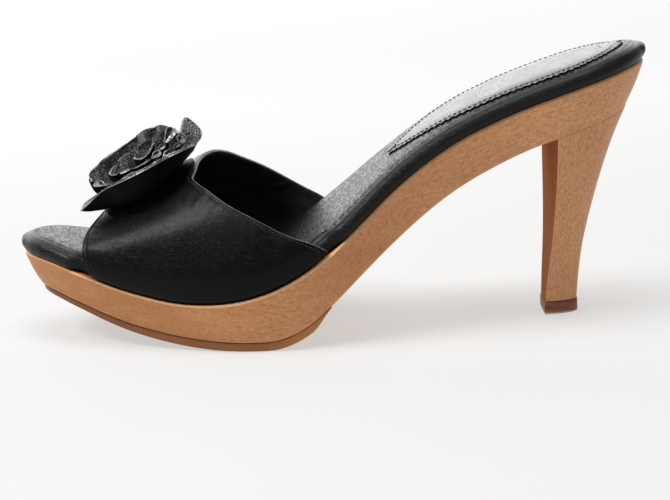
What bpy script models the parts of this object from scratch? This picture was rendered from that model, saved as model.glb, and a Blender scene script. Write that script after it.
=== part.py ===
"""High-heeled mule for the left foot: a leather vamp on a wooden platform sole with a wooden heel.

Run it with blender --background --python part.py, or from the text editor. Units are metres, +Z is up,
the toe points to -X and the inner side of the foot is +Y.

Inside the functions a station is a distance from the toe tip towards the heel. The whole shoe hangs on
one empty, which moves it so that its origin is the middle of its footprint on the floor.
"""

import math
from collections import namedtuple

import bmesh
import bpy
import numpy as np

# Overall sizes
SHOE_LENGTH = 0.2208
BALL_WIDTH = 0.083
HEEL_RISE = 0.0732
TOE_SPRING = 0.0138
CLEARANCE = 0.0003

# Wooden sole: its depth is measured upright, under the ball
WOOD_DEPTH = 0.016
SIDE_DRAFT = 0.0062
WOOD_EDGE = 0.0014
TOE_ROUND = 0.030
SEAT_ROUND = 0.034
SEAT_POWER = 2.4
SEAT_FULLNESS = 0.55

# Outsole. Its last edge is a share of its thickness.
OUTSOLE_THICKNESS = 0.0030
OUTSOLE_INSET = 0.0010
OUTSOLE_LENGTH = 0.1090
OUTSOLE_BEVEL = 0.0055
OUTSOLE_LAST_EDGE = 0.12
TREAD_FLAT = 0.0004

# Padded insole, and the sock on its heel part with a pinked edge
INSOLE_THICKNESS = 0.0065
INSOLE_BULGE = 0.0010
INSOLE_ROLL = 0.0036
SOCK_THICKNESS = 0.0008
SOCK_LENGTH = 0.0805
SOCK_SETBACK = 0.0055
SOCK_MARGIN = 0.0042
PINK_PITCH = 0.0024
PINK_DEPTH = 0.0011

# Heel and its top piece. The setback is how far the tip's back lies in front of the sole's end, and
# the seam's edge is a share of WOOD_EDGE.
HEEL_SEAT_LENGTH = 0.0330
TIP_SETBACK = 0.0247
TIP_LENGTH = 0.0118
TIP_WIDTH = 0.0136
TIP_POWER = 2.4
SEAM_EDGE = 0.1
TOP_PIECE_THICKNESS = 0.0042
TOP_PIECE_LIP = 0.0003

# Vamp
INSTEP_HEIGHT = 0.048
VAMP_WALL = 0.0018
VAMP_BULGE = 0.0016
BULGE_HEIGHT = 0.012
ARCH_POWER = 2.2
TUCK_RAMP = 0.004
TUCK_FRONT = 0.0050
TUCK_BACK = 0.0022

# Flower. Its middle is a share of SHOE_LENGTH behind the toe tip, so that it stays on the vamp. The
# petals lie a pitch apart, in thicknesses, because the vamp slopes away under them.
FLOWER_ALONG = 0.205
FLOWER_SIDE = -0.0010
FLOWER_RADIUS = 0.0190
PETAL_THICKNESS = 0.0011
PETAL_PITCH = 1.25
PETAL_HOLE = 0.02

# How finely the solids are cut
SOLE_STATIONS = 54
HEEL_SIDE_POINTS = 12
VAMP_ROWS = 8
VAMP_COLUMNS = 44
PETAL_SPOKES = 36

# Sections of the sole. along is a share of SHOE_LENGTH, spring of TOE_SPRING, rise of HEEL_RISE,
# wood of WOOD_DEPTH, middle and half of BALL_WIDTH, and draft of SIDE_DRAFT.
Section = namedtuple("Section", "along spring rise wood middle half draft")
SECTIONS = [
    Section(0.000, 1.000, 0.000, 0.760, 0.078, 0.283, 0.80),
    Section(0.045, 0.884, 0.000, 0.725, 0.080, 0.295, 0.56),
    Section(0.090, 0.680, 0.000, 0.715, 0.084, 0.333, 0.42),
    Section(0.180, 0.232, 0.000, 0.730, 0.060, 0.404, 0.26),
    Section(0.270, 0.000, 0.000, 0.760, 0.027, 0.466, 0.19),
    Section(0.362, 0.000, 0.026, 0.956, -0.004, 0.499, 0.16),
    Section(0.407, 0.000, 0.068, 1.120, -0.012, 0.494, 0.16),
    Section(0.4525, 0.000, 0.137, 1.190, -0.020, 0.477, 0.19),
    Section(0.498, 0.000, 0.231, 1.130, -0.036, 0.434, 0.24),
    Section(0.543, 0.000, 0.347, 1.110, -0.055, 0.376, 0.29),
    Section(0.588, 0.000, 0.467, 1.120, -0.062, 0.330, 0.34),
    Section(0.679, 0.000, 0.657, 1.040, -0.020, 0.314, 0.35),
    Section(0.769, 0.000, 0.784, 0.955, 0.002, 0.319, 0.32),
    Section(0.860, 0.000, 0.880, 0.906, 0.000, 0.323, 0.32),
    Section(0.950, 0.000, 0.959, 0.906, 0.000, 0.323, 0.58),
    Section(1.000, 0.000, 1.000, 0.925, 0.000, 0.323, 1.00),
]

# Levels of the wood's side. depth is a share of the wood's depth from the seat down, draft of the
# draft there, and ease of WOOD_EDGE.
Level = namedtuple("Level", "depth draft ease")
WOOD_LEVELS = [
    Level(0.00, 0.00, 0.45),
    Level(0.05, 0.00, 0.00),
    Level(0.30, 0.20, 0.00),
    Level(0.62, 0.55, 0.00),
    Level(0.88, 0.90, 0.12),
    Level(0.97, 1.00, 0.45),
    Level(1.00, 1.00, 1.00),
]

# Levels of the outsole from its top down. depth is a share of its thickness, ease of WOOD_EDGE.
OUTSOLE_LEVELS = [
    Level(0.0, 0, 0.0),
    Level(0.6, 0, 0.05),
    Level(0.9, 0, 0.4),
    Level(1.0, 0, 1.0),
]

# Outsole thickness along the sole, as a share of OUTSOLE_THICKNESS.
Tread = namedtuple("Tread", "along share")
TREAD = [
    Tread(0.00, 0.50),
    Tread(0.10, 0.75),
    Tread(0.20, 0.95),
    Tread(0.30, 1.00),
    Tread(0.60, 1.00),
]

# Levels of the insole from its underside up. up is a share of INSOLE_THICKNESS, out of INSOLE_BULGE,
# and roll, how far it has rolled in over the top, of INSOLE_ROLL.
Roll = namedtuple("Roll", "up out roll")
INSOLE_LEVELS = [
    Roll(0.00, -0.30, 0.00),
    Roll(0.10, 0.40, 0.00),
    Roll(0.32, 0.95, 0.00),
    Roll(0.55, 0.95, 0.03),
    Roll(0.76, 0.60, 0.14),
    Roll(0.91, 0.00, 0.40),
    Roll(1.00, 0.00, 1.00),
]

# Vamp sections. along is a share of SHOE_LENGTH, crown of INSTEP_HEIGHT, ridge of BALL_WIDTH.
Arch = namedtuple("Arch", "along crown ridge")
ARCHES = [
    Arch(0.050, 0.170, 0.070),
    Arch(0.090, 0.300, 0.066),
    Arch(0.135, 0.446, 0.058),
    Arch(0.180, 0.600, 0.050),
    Arch(0.225, 0.746, 0.043),
    Arch(0.270, 0.875, 0.037),
    Arch(0.315, 0.962, 0.034),
    Arch(0.360, 1.000, 0.030),
    Arch(0.405, 0.995, 0.026),
    Arch(0.450, 0.940, 0.020),
    Arch(0.520, 0.790, 0.010),
]

# Edges of the vamp. round is a share of the way over the foot, from the outer side to the inner
# side. front and back are the stations of the toe opening and of the topline, as shares of
# SHOE_LENGTH.
Edge = namedtuple("Edge", "round front back")
VAMP_EDGES = [
    Edge(0.000, 0.1170, 0.4920),
    Edge(0.018, 0.1130, 0.4830),
    Edge(0.059, 0.1090, 0.4590),
    Edge(0.100, 0.1070, 0.4280),
    Edge(0.160, 0.1057, 0.3840),
    Edge(0.224, 0.1065, 0.3385),
    Edge(0.286, 0.1100, 0.3085),
    Edge(0.335, 0.1160, 0.2900),
    Edge(0.370, 0.1215, 0.2815),
    Edge(0.410, 0.1280, 0.2850),
    Edge(0.490, 0.1360, 0.2910),
    Edge(0.590, 0.1345, 0.3125),
    Edge(0.660, 0.1280, 0.3315),
    Edge(0.720, 0.1215, 0.3535),
    Edge(0.810, 0.1125, 0.4015),
    Edge(0.895, 0.1080, 0.4500),
    Edge(0.960, 0.1100, 0.4880),
    Edge(1.000, 0.1170, 0.5040),
]

# How the heel widens from its tip (0) to the seat (1). back and half are shares of that flare, and
# front is the share of the way from the tip's breast to the breast at the seat.
Flare = namedtuple("Flare", "up front back half")
HEEL_FLARE = [
    Flare(0.00, 0.00, 0.000, 0.000),
    Flare(0.16, 0.22, 0.060, 0.150),
    Flare(0.30, 0.46, 0.138, 0.300),
    Flare(0.47, 0.68, 0.280, 0.500),
    Flare(0.64, 0.84, 0.460, 0.715),
    Flare(0.77, 0.92, 0.625, 0.850),
    Flare(0.88, 0.97, 0.790, 0.935),
    Flare(1.00, 1.00, 1.000, 1.000),
]

# Outline of the sock, from its front point (0) to its back (1). half is a share of half the insole's
# width there, less SOCK_MARGIN.
SockRow = namedtuple("SockRow", "along half")
SOCK_ROWS = [
    SockRow(0.00, 0.09),
    SockRow(0.06, 0.35),
    SockRow(0.14, 0.60),
    SockRow(0.27, 0.83),
    SockRow(0.45, 0.94),
    SockRow(0.66, 1.00),
    SockRow(0.82, 0.96),
    SockRow(0.92, 0.80),
    SockRow(0.97, 0.55),
    SockRow(1.00, 0.14),
]

# Rims of the flower's petals. turn is the angle seen from above, in degrees, 0 towards the heel, 90
# towards the inner side and 180 towards the toe. reach and rise are shares of FLOWER_RADIUS, the rise
# measured from the slope of the vamp's ridge.
Rim = namedtuple("Rim", "turn reach rise")
BASE_RIM = [
    Rim(0, 0.92, 0),
    Rim(90, 0.90, 0),
    Rim(180, 0.82, 0),
    Rim(235, 0.80, 0),
    Rim(270, 0.88, 0),
    Rim(310, 0.96, 0),
]
OUTER_RIM = [
    Rim(3, 1.09, 0.47),
    Rim(16, 1.08, 0.60),
    Rim(27, 0.92, 0.92),
    Rim(44, 0.90, 0.66),
    Rim(70, 1.02, 0.42),
    Rim(92, 1.08, 0.46),
    Rim(115, 1.10, 0.58),
    Rim(138, 1.03, 0.45),
    Rim(158, 1.10, 0.30),
    Rim(175, 1.26, 0.26),
    Rim(192, 1.32, 0.24),
    Rim(206, 1.22, 0.38),
    Rim(223, 1.08, 0.53),
    Rim(245, 1.10, 0.60),
    Rim(270, 1.12, 0.61),
    Rim(294, 1.05, 0.57),
    Rim(319, 1.06, 0.49),
    Rim(345, 1.02, 0.39),
]
MIDDLE_RIM = [
    Rim(8, 0.70, 0.66),
    Rim(35, 0.66, 0.82),
    Rim(60, 0.69, 1.00),
    Rim(92, 0.68, 1.09),
    Rim(122, 0.86, 1.02),
    Rim(146, 1.02, 0.95),
    Rim(167, 1.08, 0.88),
    Rim(185, 1.03, 0.75),
    Rim(202, 0.90, 0.59),
    Rim(222, 0.82, 0.53),
    Rim(252, 0.80, 0.54),
    Rim(282, 0.78, 0.50),
    Rim(312, 0.74, 0.52),
    Rim(340, 0.72, 0.54),
]
INNER_RIM = [
    Rim(5, 0.54, 0.92),
    Rim(50, 0.40, 0.80),
    Rim(100, 0.42, 0.78),
    Rim(145, 0.50, 0.74),
    Rim(185, 0.56, 0.62),
    Rim(230, 0.50, 0.58),
    Rim(275, 0.48, 0.56),
    Rim(320, 0.46, 0.64),
]
HEART_RIM = [
    Rim(0, 0.20, 0.78),
    Rim(90, 0.17, 0.66),
    Rim(180, 0.20, 0.70),
    Rim(270, 0.17, 0.62),
]

# Profile of a petal from its middle to its rim. out is a share of the rim's reach, and lift how far
# the petal has risen off the vamp towards its rim.
Spoke = namedtuple("Spoke", "out lift")
PETAL_SPOKE = [
    Spoke(0.30, 0.00),
    Spoke(0.58, 0.03),
    Spoke(0.78, 0.17),
    Spoke(0.89, 0.44),
    Spoke(0.95, 0.72),
    Spoke(1.00, 1.00),
]

Finish = namedtuple("Finish", "colour roughness metallic")
FINISHES = {
    "wood": Finish((0.52, 0.30, 0.16), 0.50, 0.0),
    "outsole": Finish((0.42, 0.19, 0.06), 0.45, 0.0),
    "top_piece": Finish((0.11, 0.045, 0.025), 0.55, 0.0),
    "vamp_leather": Finish((0.012, 0.012, 0.013), 0.38, 0.0),
    "insole_leather": Finish((0.018, 0.018, 0.019), 0.34, 0.0),
    "sock_leather": Finish((0.022, 0.022, 0.023), 0.40, 0.0),
    "flower_leather": Finish((0.012, 0.012, 0.012), 0.42, 0.0),
}


def through(rows, column, period=None):
    """A smooth curve through one column of a table, as a function of the table's first column."""
    at = np.array([row[0] for row in rows], float)
    value = np.array([getattr(row, column) for row in rows], float)
    if period:
        at = np.concatenate([at[-2:] - period, at, at[:2] + period])
        value = np.concatenate([value[-2:], value, value[:2]])
    step = np.diff(at)
    slope = np.diff(value) / step
    tangent = np.empty(len(at))
    tangent[0], tangent[-1] = slope[0], slope[-1]
    tangent[1:-1] = (slope[:-1] * step[1:] + slope[1:] * step[:-1]) / (step[:-1] + step[1:])

    def curve(where):
        where = np.asarray(where, float) % period if period else np.asarray(where, float)
        where = np.clip(where, at[0], at[-1])
        k = np.clip(np.searchsorted(at, where) - 1, 0, len(step) - 1)
        u = (where - at[k]) / step[k]
        rest = 1 - u
        return (
            value[k] * (1 + 2 * u) * rest**2
            + value[k + 1] * (3 - 2 * u) * u**2
            + step[k] * u * rest * (tangent[k] * rest - tangent[k + 1] * u)
        )

    return curve


SPRING = through(SECTIONS, "spring")
RISE = through(SECTIONS, "rise")
WOOD = through(SECTIONS, "wood")
MIDDLE = through(SECTIONS, "middle")
HALF = through(SECTIONS, "half")
DRAFT = through(SECTIONS, "draft")
CROWN = through(ARCHES, "crown")
RIDGE = through(ARCHES, "ridge")
TREAD_SHARE = through(TREAD, "share")


def seat_above_ball(station):
    """Height of the wood's top above its lowest spot at the ball."""
    share = np.asarray(station) / SHOE_LENGTH
    return SPRING(share) * TOE_SPRING + RISE(share) * HEEL_RISE


def lowest_seat():
    """Height of that lowest spot, set so that the tread comes down to the floor and is flat there."""
    station = np.linspace(0, OUTSOLE_LENGTH, 400)
    below = WOOD(station / SHOE_LENGTH) * WOOD_DEPTH - seat_above_ball(station)
    return OUTSOLE_THICKNESS + CLEARANCE - TREAD_FLAT + below.max()


BALL_SEAT = lowest_seat()


def seat(station):
    """Height of the wood's top, where the insole lies."""
    return BALL_SEAT + seat_above_ball(station)


def underside(station):
    """Height of the wood's underside."""
    return seat(station) - WOOD(np.asarray(station) / SHOE_LENGTH) * WOOD_DEPTH


def seat_normal(station):
    """Direction straight out of the seat, in the upright plane along the shoe."""
    reach = 0.0005
    slope = (seat(station + reach) - seat(station - reach)) / (2 * reach)
    length = np.sqrt(1 + slope**2)
    return -slope / length, 1 / length


def half_width(station):
    """Half the width of the wood's top, with its round toe and round seat."""
    toe = np.clip(1 - station / TOE_ROUND, 0, 1)
    back = np.clip((station - SHOE_LENGTH + SEAT_ROUND) / SEAT_ROUND, 0, 1)
    ends = np.sqrt(1 - toe**2) * np.maximum(1 - back**SEAT_POWER, 0) ** SEAT_FULLNESS
    return HALF(station / SHOE_LENGTH) * BALL_WIDTH * ends


def middle(station):
    """Where the middle of the sole lies, to the side of the straight line through the heel."""
    return MIDDLE(station / SHOE_LENGTH) * BALL_WIDTH


def sole_loop(stations):
    """The sole's outline, back along the outer side and forward again along the inner side, as
    stations, sides and the outward direction of each point. Its end is one point where it is whole."""
    first = 1 if half_width(stations[0]) < 1e-6 else 0
    last = len(stations) - (1 if half_width(stations[-1]) < 1e-6 else 0)
    x = np.concatenate([stations, stations[first:last][::-1]])
    hand = np.concatenate([-np.ones(len(stations)), np.ones(last - first)])
    ahead, behind = np.minimum(x + 1e-5, SHOE_LENGTH), np.maximum(x - 1e-5, 0)
    rise = middle(ahead) + hand * half_width(ahead) - middle(behind) - hand * half_width(behind)
    slope = rise / (ahead - behind)
    length = np.sqrt(1 + slope**2)
    return x, middle(x) + hand * half_width(x), -hand * slope / length, hand / length


def spaced(count):
    """Stations over the whole sole that lie closer together at its round ends."""
    return SHOE_LENGTH * (1 - np.cos(np.linspace(0, math.pi, count + 1))) / 2


def smooth(share):
    """A step from 0 to 1 that starts and ends gently."""
    share = np.clip(share, 0, 1)
    return share**2 * (3 - 2 * share)


def finish(name):
    """A material with the finish of that name."""
    made = bpy.data.materials.get(name)
    if made:
        return made
    made = bpy.data.materials.new(name)
    made.use_nodes = True
    shader = made.node_tree.nodes["Principled BSDF"]
    look = FINISHES[name]
    shader.inputs["Base Color"].default_value = (*look.colour, 1)
    shader.inputs["Roughness"].default_value = look.roughness
    shader.inputs["Metallic"].default_value = look.metallic
    made.diffuse_color = (*look.colour, 1)
    return made


def new_object(name, points, faces, material):
    """An object in the shoe's collection, hung on its empty, from points and faces."""
    mesh = bpy.data.meshes.new(name)
    mesh.from_pydata([tuple(float(v) for v in p) for p in points], [], faces)
    edit = bmesh.new()
    edit.from_mesh(mesh)
    bmesh.ops.recalc_face_normals(edit, faces=edit.faces)
    if edit.calc_volume(signed=True) < 0:
        bmesh.ops.reverse_faces(edit, faces=edit.faces)
    edit.to_mesh(mesh)
    edit.free()
    mesh.shade_smooth()
    mesh.set_sharp_from_angle(angle=math.radians(40))
    mesh.materials.append(finish(material))
    made = bpy.data.objects.new(name, mesh)
    bpy.data.collections["mule"].objects.link(made)
    made.parent = bpy.data.objects["mule_origin"]
    return made


def ladder(ring, tip):
    """Faces that close a ring of points across, from its outer side to its inner side. tip says that
    the ring starts in one point. It ends in one where the rest of it is odd."""
    body = ring[1:] if tip else ring
    half = len(body) // 2
    near, far = body[:half], body[::-1][:half]
    faces = [(near[i], near[i + 1], far[i + 1], far[i]) for i in range(half - 1)]
    if tip:
        faces.append((ring[0], near[0], far[0]))
    if len(body) % 2:
        faces.append((near[-1], body[half], far[-1]))
    return faces


def stacked_solid(name, levels, material, tip=True):
    """A closed solid skinned over outlines that lie one above the other, closed across at both ends."""
    count = len(levels[0])
    points = [p for level in levels for p in level]
    faces = []
    for k in range(len(levels) - 1):
        low, high = k * count, (k + 1) * count
        for i in range(count):
            j = (i + 1) % count
            faces.append((low + i, low + j, high + j, high + i))
    faces += ladder(list(range(count)), tip)
    faces += ladder(list(range(len(points) - count, len(points))), tip)
    return new_object(name, points, faces, material)


def wooden_sole():
    """Platform, waist and heel seat in one piece of wood. Its lower edge is eased up to the heel."""
    x, y, out_x, out_y = sole_loop(spaced(SOLE_STATIONS))
    draft = DRAFT(x / SHOE_LENGTH) * SIDE_DRAFT
    eased = WOOD_EDGE * np.clip((SHOE_LENGTH - HEEL_SEAT_LENGTH - x) / SIDE_DRAFT, SEAM_EDGE, 1)
    levels = []
    for level in WOOD_LEVELS:
        inset = level.draft * draft + level.ease * (eased if level.depth > 0.5 else WOOD_EDGE)
        edge = x - out_x * inset
        height = seat(edge) - level.depth * (seat(edge) - underside(edge))
        levels.append(np.stack([edge, y - out_y * inset, height], 1))
    return stacked_solid("wooden_sole", levels, "wood")


def outsole():
    """Thin tread under the forepart, flat on the floor under the ball, skived at its back end."""
    stations = spaced(SOLE_STATIONS)
    stations = np.append(stations[stations < OUTSOLE_LENGTH - CLEARANCE], OUTSOLE_LENGTH)
    x, y, out_x, out_y = sole_loop(stations)
    inset = DRAFT(x / SHOE_LENGTH) * SIDE_DRAFT + OUTSOLE_INSET
    skive = np.clip((OUTSOLE_LENGTH - x) / OUTSOLE_BEVEL, OUTSOLE_LAST_EDGE, 1)
    thick = TREAD_SHARE(x / SHOE_LENGTH) * OUTSOLE_THICKNESS * skive
    levels = []
    for level in OUTSOLE_LEVELS:
        off = inset + level.ease * WOOD_EDGE
        edge = x - out_x * off
        height = underside(edge) - CLEARANCE - level.depth * thick
        height = np.maximum(height, (1 - level.depth) * TREAD_FLAT)
        levels.append(np.stack([edge, y - out_y * off, height], 1))
    return stacked_solid("outsole", levels, "outsole")


def tuck(station, hand):
    """How far the insole's edge stands back for the vamp's wall, on the outer (-1) or inner side."""
    outer, inner = VAMP_EDGES[0], VAMP_EDGES[-1]
    front = np.where(hand < 0, outer.front, inner.front) * SHOE_LENGTH - TUCK_FRONT
    back = np.where(hand < 0, outer.back, inner.back) * SHOE_LENGTH + TUCK_BACK
    share = 1 - np.maximum(front - station, station - back) / TUCK_RAMP
    return smooth(share) * (VAMP_WALL + CLEARANCE + INSOLE_BULGE)


def above_seat(station, side, up):
    """A point that stands up from the wood's seat at that station, square to it."""
    lean, rise = seat_normal(station)
    return np.stack([station + lean * up, side, seat(station) + rise * up], 1)


def insole():
    """Padded footbed with a rolled edge, set back where the vamp goes down to the wood."""
    x, y, out_x, out_y = sole_loop(spaced(SOLE_STATIONS))
    back = tuck(x, np.sign(out_y))
    levels = []
    for level in INSOLE_LEVELS:
        out = level.out * INSOLE_BULGE - level.roll * INSOLE_ROLL - back
        up = CLEARANCE + level.up * INSOLE_THICKNESS
        levels.append(above_seat(x + out_x * out, y + out_y * out, up))
    return stacked_solid("insole", levels, "insole_leather")


def heel_sock():
    """Thin pad on the heel part of the insole, with pinked edges."""
    along, half = through(SOCK_ROWS, "half"), np.linspace(0, 1, 400)
    front = SHOE_LENGTH - SOCK_SETBACK - SOCK_LENGTH
    station = front + half * SOCK_LENGTH
    side = along(half) * (half_width(station) - SOCK_MARGIN)
    run = np.concatenate([[0], np.cumsum(np.hypot(np.diff(station), np.diff(side)))])
    teeth = 2 * round(run[-1] / PINK_PITCH)
    even = np.linspace(0, run[-1], teeth + 1)
    station, side = np.interp(even, run, station), np.interp(even, run, side)
    slope = np.gradient(side, even)
    point = np.where(np.arange(teeth + 1) % 2, PINK_DEPTH / 2, -PINK_DEPTH / 2)
    station = station - slope * point
    side = side + np.sqrt(np.maximum(1 - slope**2, 0)) * point
    side[0] = side[-1] = 0
    x = np.concatenate([station, station[-2:0:-1]])
    y = middle(x) + np.concatenate([-side, side[-2:0:-1]])
    floor = INSOLE_THICKNESS + 2 * CLEARANCE
    levels = [above_seat(x, y, floor + share * SOCK_THICKNESS) for share in (0, 1)]
    return stacked_solid("heel_sock", levels, "sock_leather")


def tip_loop(grow=0.0):
    """The heel's outline at the floor: straight at the breast and round at the back."""
    quarter = np.linspace(0, math.pi / 2, HEEL_SIDE_POINTS + 1)
    share = np.sin(quarter) ** (2 / TIP_POWER)
    wide = np.cos(quarter) ** (2 / TIP_POWER)
    share = np.concatenate([share, share[-2::-1]])
    wide = np.concatenate([-wide, wide[-2::-1]])
    x = SHOE_LENGTH - TIP_SETBACK - TIP_LENGTH - grow + share * (TIP_LENGTH + 2 * grow)
    return x, wide * (TIP_WIDTH / 2 + grow), share


def heel():
    """Wooden heel that narrows from the sole's own outline down to its tip, with a hollow back line."""
    tip_x, tip_y, share = tip_loop()
    count = HEEL_SIDE_POINTS + 1
    x, y, out_x, out_y = sole_loop(SHOE_LENGTH - HEEL_SEAT_LENGTH * (1 - share[:count]))
    inset = DRAFT(x / SHOE_LENGTH) * SIDE_DRAFT + SEAM_EDGE * WOOD_EDGE
    top_x, top_y = x - out_x * inset, y - out_y * inset
    top_z = underside(top_x) - CLEARANCE
    tip_z = TOP_PIECE_THICKNESS + CLEARANCE
    levels = []
    for level in HEEL_FLARE:
        flare = level.front + share * (level.back - level.front)
        points = [
            tip_x + flare * (top_x - tip_x),
            tip_y + level.half * (top_y - tip_y),
            tip_z + level.up * (top_z - tip_z),
        ]
        levels.append(np.stack(points, 1))
    return stacked_solid("heel", levels, "wood", tip=False)


def heel_top_piece():
    """The dark lift that the heel stands on."""
    x, y, share = tip_loop(TOP_PIECE_LIP)
    levels = [np.stack([x, y, np.full(len(x), z)], 1) for z in (0.0, TOP_PIECE_THICKNESS)]
    return stacked_solid("heel_top_piece", levels, "top_piece", tip=False)


def over_foot(station, turn):
    """A point of the vamp's outer face: turn runs from the outer side (0) over the foot to the inner
    side (1)."""
    station, turn = np.broadcast_arrays(np.asarray(station, float), turn)
    across, up = -np.cos(math.pi * turn), np.sin(math.pi * turn)
    across = np.sign(across) * np.abs(across) ** (2 / ARCH_POWER)
    up = np.maximum(up, 0) ** (2 / ARCH_POWER)
    share = station / SHOE_LENGTH
    crown = CROWN(share) * INSTEP_HEIGHT
    bulge = VAMP_BULGE * np.sin(math.pi / 2 * np.minimum(up * crown / BULGE_HEIGHT, 1))
    side = middle(station)
    ridge = RIDGE(share) * BALL_WIDTH
    y = side + across * (half_width(station) + bulge) + up * (ridge - side)
    return np.stack([station, y, seat(station) + CLEARANCE + crown * up], -1)


def walled(name, outer, inner, material, ring=False):
    """A closed wall between two grids of points. In a ring, the last column meets the first."""
    rows, columns = outer.shape[:2]
    points = np.concatenate([outer.reshape(-1, 3), inner.reshape(-1, 3)])
    skin = rows * columns
    faces = []
    last = columns if ring else columns - 1
    for i in range(rows - 1):
        for j in range(last):
            k = (j + 1) % columns
            quad = (i * columns + j, i * columns + k, (i + 1) * columns + k, (i + 1) * columns + j)
            faces.append(quad)
            faces.append(tuple(skin + corner for corner in reversed(quad)))
    for i in (0, rows - 1):
        for j in range(last):
            a, b = i * columns + j, i * columns + (j + 1) % columns
            faces.append((a, b, skin + b, skin + a))
    if not ring:
        for j in (0, columns - 1):
            for i in range(rows - 1):
                a, b = i * columns + j, (i + 1) * columns + j
                faces.append((a, b, skin + b, skin + a))
    return new_object(name, points, faces, material)


def normals(grid, ring=False):
    """The direction square to a grid of points, upwards at its middle."""
    across = np.gradient(grid, axis=1)
    if ring:
        across = np.roll(grid, -1, axis=1) - np.roll(grid, 1, axis=1)
    square = np.cross(np.gradient(grid, axis=0), across)
    return square / np.maximum(np.linalg.norm(square, axis=-1, keepdims=True), 1e-12)


def vamp():
    """The upper: one wall that goes over the forefoot, cut out over the toes and for the instep."""
    turn = np.linspace(0, 1, VAMP_COLUMNS + 1)
    front = through(VAMP_EDGES, "front")(turn) * SHOE_LENGTH
    back = through(VAMP_EDGES, "back")(turn) * SHOE_LENGTH
    share = np.linspace(0, 1, VAMP_ROWS + 1)[:, None]
    outer = over_foot(front + share * (back - front), turn)
    inner = outer - VAMP_WALL * normals(outer)
    inner[..., 2] = np.maximum(inner[..., 2], seat(inner[..., 0]) + CLEARANCE)
    return walled("vamp", outer, inner, "vamp_leather")


def vamp_top(station, side):
    """Height of the vamp's outer face above a point of the plan, closed in on from the ridge."""
    share = station / SHOE_LENGTH
    crown = CROWN(share) * INSTEP_HEIGHT
    lean = RIDGE(share) * BALL_WIDTH - middle(station)
    up = np.ones(np.shape(side))
    for _ in range(12):
        bulge = VAMP_BULGE * np.sin(math.pi / 2 * np.minimum(up * crown / BULGE_HEIGHT, 1))
        off = np.abs(side - middle(station) - up * lean) / (half_width(station) + bulge)
        up = (up + (1 - np.minimum(off, 0.98) ** ARCH_POWER) ** (1 / ARCH_POWER)) / 2
    return seat(station) + CLEARANCE + crown * up


def petal(name, rim, layer, rises=True):
    """A dish of leather gathered on the vamp, its rim raised as its table says. layer counts the
    pieces under it."""
    turn = np.arange(PETAL_SPOKES) * 360 / PETAL_SPOKES
    reach = through(rim, "reach", 360)(turn) * FLOWER_RADIUS
    rise = through(rim, "rise", 360)(turn) * FLOWER_RADIUS
    out = np.array([PETAL_HOLE] + [spoke.out for spoke in PETAL_SPOKE])[:, None]
    lift = np.array([0.0] + [spoke.lift for spoke in PETAL_SPOKE])[:, None] * rises
    heart = FLOWER_ALONG * SHOE_LENGTH
    x = heart + out * reach * np.cos(np.radians(turn))
    y = FLOWER_SIDE + out * reach * np.sin(np.radians(turn))
    bed = vamp_top(x, y) + CLEARANCE + layer * (PETAL_PITCH * PETAL_THICKNESS + CLEARANCE)
    ends = vamp_top(heart + np.array([-FLOWER_RADIUS, FLOWER_RADIUS]), 0)
    plane = ends.mean() + (x - heart) * (ends[1] - ends[0]) / (2 * FLOWER_RADIUS)
    lower = np.stack([x, y, bed + lift * (plane + rise - bed)], -1)
    square = normals(lower, ring=True)
    square *= np.sign(square[:1, :, 2:].sum())
    upper = lower + PETAL_THICKNESS * square
    return walled(name, lower, upper, "flower_leather", ring=True)


def main():
    for thing in list(bpy.data.objects):
        bpy.data.objects.remove(thing)
    bpy.context.scene.collection.children.link(bpy.data.collections.new("mule"))
    origin = bpy.data.objects.new("mule_origin", None)
    bpy.data.collections["mule"].objects.link(origin)
    parts = [
        wooden_sole(),
        outsole(),
        insole(),
        heel_sock(),
        heel(),
        heel_top_piece(),
        vamp(),
        petal("flower_base", BASE_RIM, 0, rises=False),
        petal("flower_outer_petal", OUTER_RIM, 1),
        petal("flower_middle_petal", MIDDLE_RIM, 2),
        petal("flower_inner_petal", INNER_RIM, 3),
        petal("flower_heart", HEART_RIM, 4),
    ]
    corners = np.array([vertex.co for part in parts for vertex in part.data.vertices])
    low, high = corners.min(axis=0), corners.max(axis=0)
    origin.location = (-(low[0] + high[0]) / 2, -(low[1] + high[1]) / 2, -low[2])


main()
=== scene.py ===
"""Looks of a high-heeled mule: black leather vamp with a leather flower on a pale wooden platform.

Lengths are metres. A station is a distance from the toe tip towards the heel.
"""

import math
from collections import namedtuple

import bmesh
import bpy
import numpy as np
from mathutils import Matrix, Vector, noise


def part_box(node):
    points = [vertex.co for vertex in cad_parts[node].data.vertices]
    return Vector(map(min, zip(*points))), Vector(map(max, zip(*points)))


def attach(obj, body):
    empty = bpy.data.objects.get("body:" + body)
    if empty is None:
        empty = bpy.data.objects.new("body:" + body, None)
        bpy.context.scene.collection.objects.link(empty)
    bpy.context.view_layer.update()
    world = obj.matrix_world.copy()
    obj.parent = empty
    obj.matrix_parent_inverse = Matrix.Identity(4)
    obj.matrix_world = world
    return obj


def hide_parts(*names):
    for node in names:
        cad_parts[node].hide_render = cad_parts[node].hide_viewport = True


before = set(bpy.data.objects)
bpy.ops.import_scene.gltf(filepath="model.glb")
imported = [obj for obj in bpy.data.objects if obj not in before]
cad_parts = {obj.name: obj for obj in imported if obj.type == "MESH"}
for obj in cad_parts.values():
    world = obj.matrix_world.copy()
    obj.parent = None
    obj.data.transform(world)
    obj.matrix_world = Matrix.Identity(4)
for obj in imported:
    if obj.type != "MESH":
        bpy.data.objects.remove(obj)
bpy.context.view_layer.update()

# Where the shoe stands: its toe tip, its heel's middle line and the floor
WOOD_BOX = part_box("wooden_sole")
LIFT_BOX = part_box("heel_top_piece")
SHIFT = np.array([WOOD_BOX[0].x, (LIFT_BOX[0].y + LIFT_BOX[1].y) / 2, LIFT_BOX[0].z])

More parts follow.
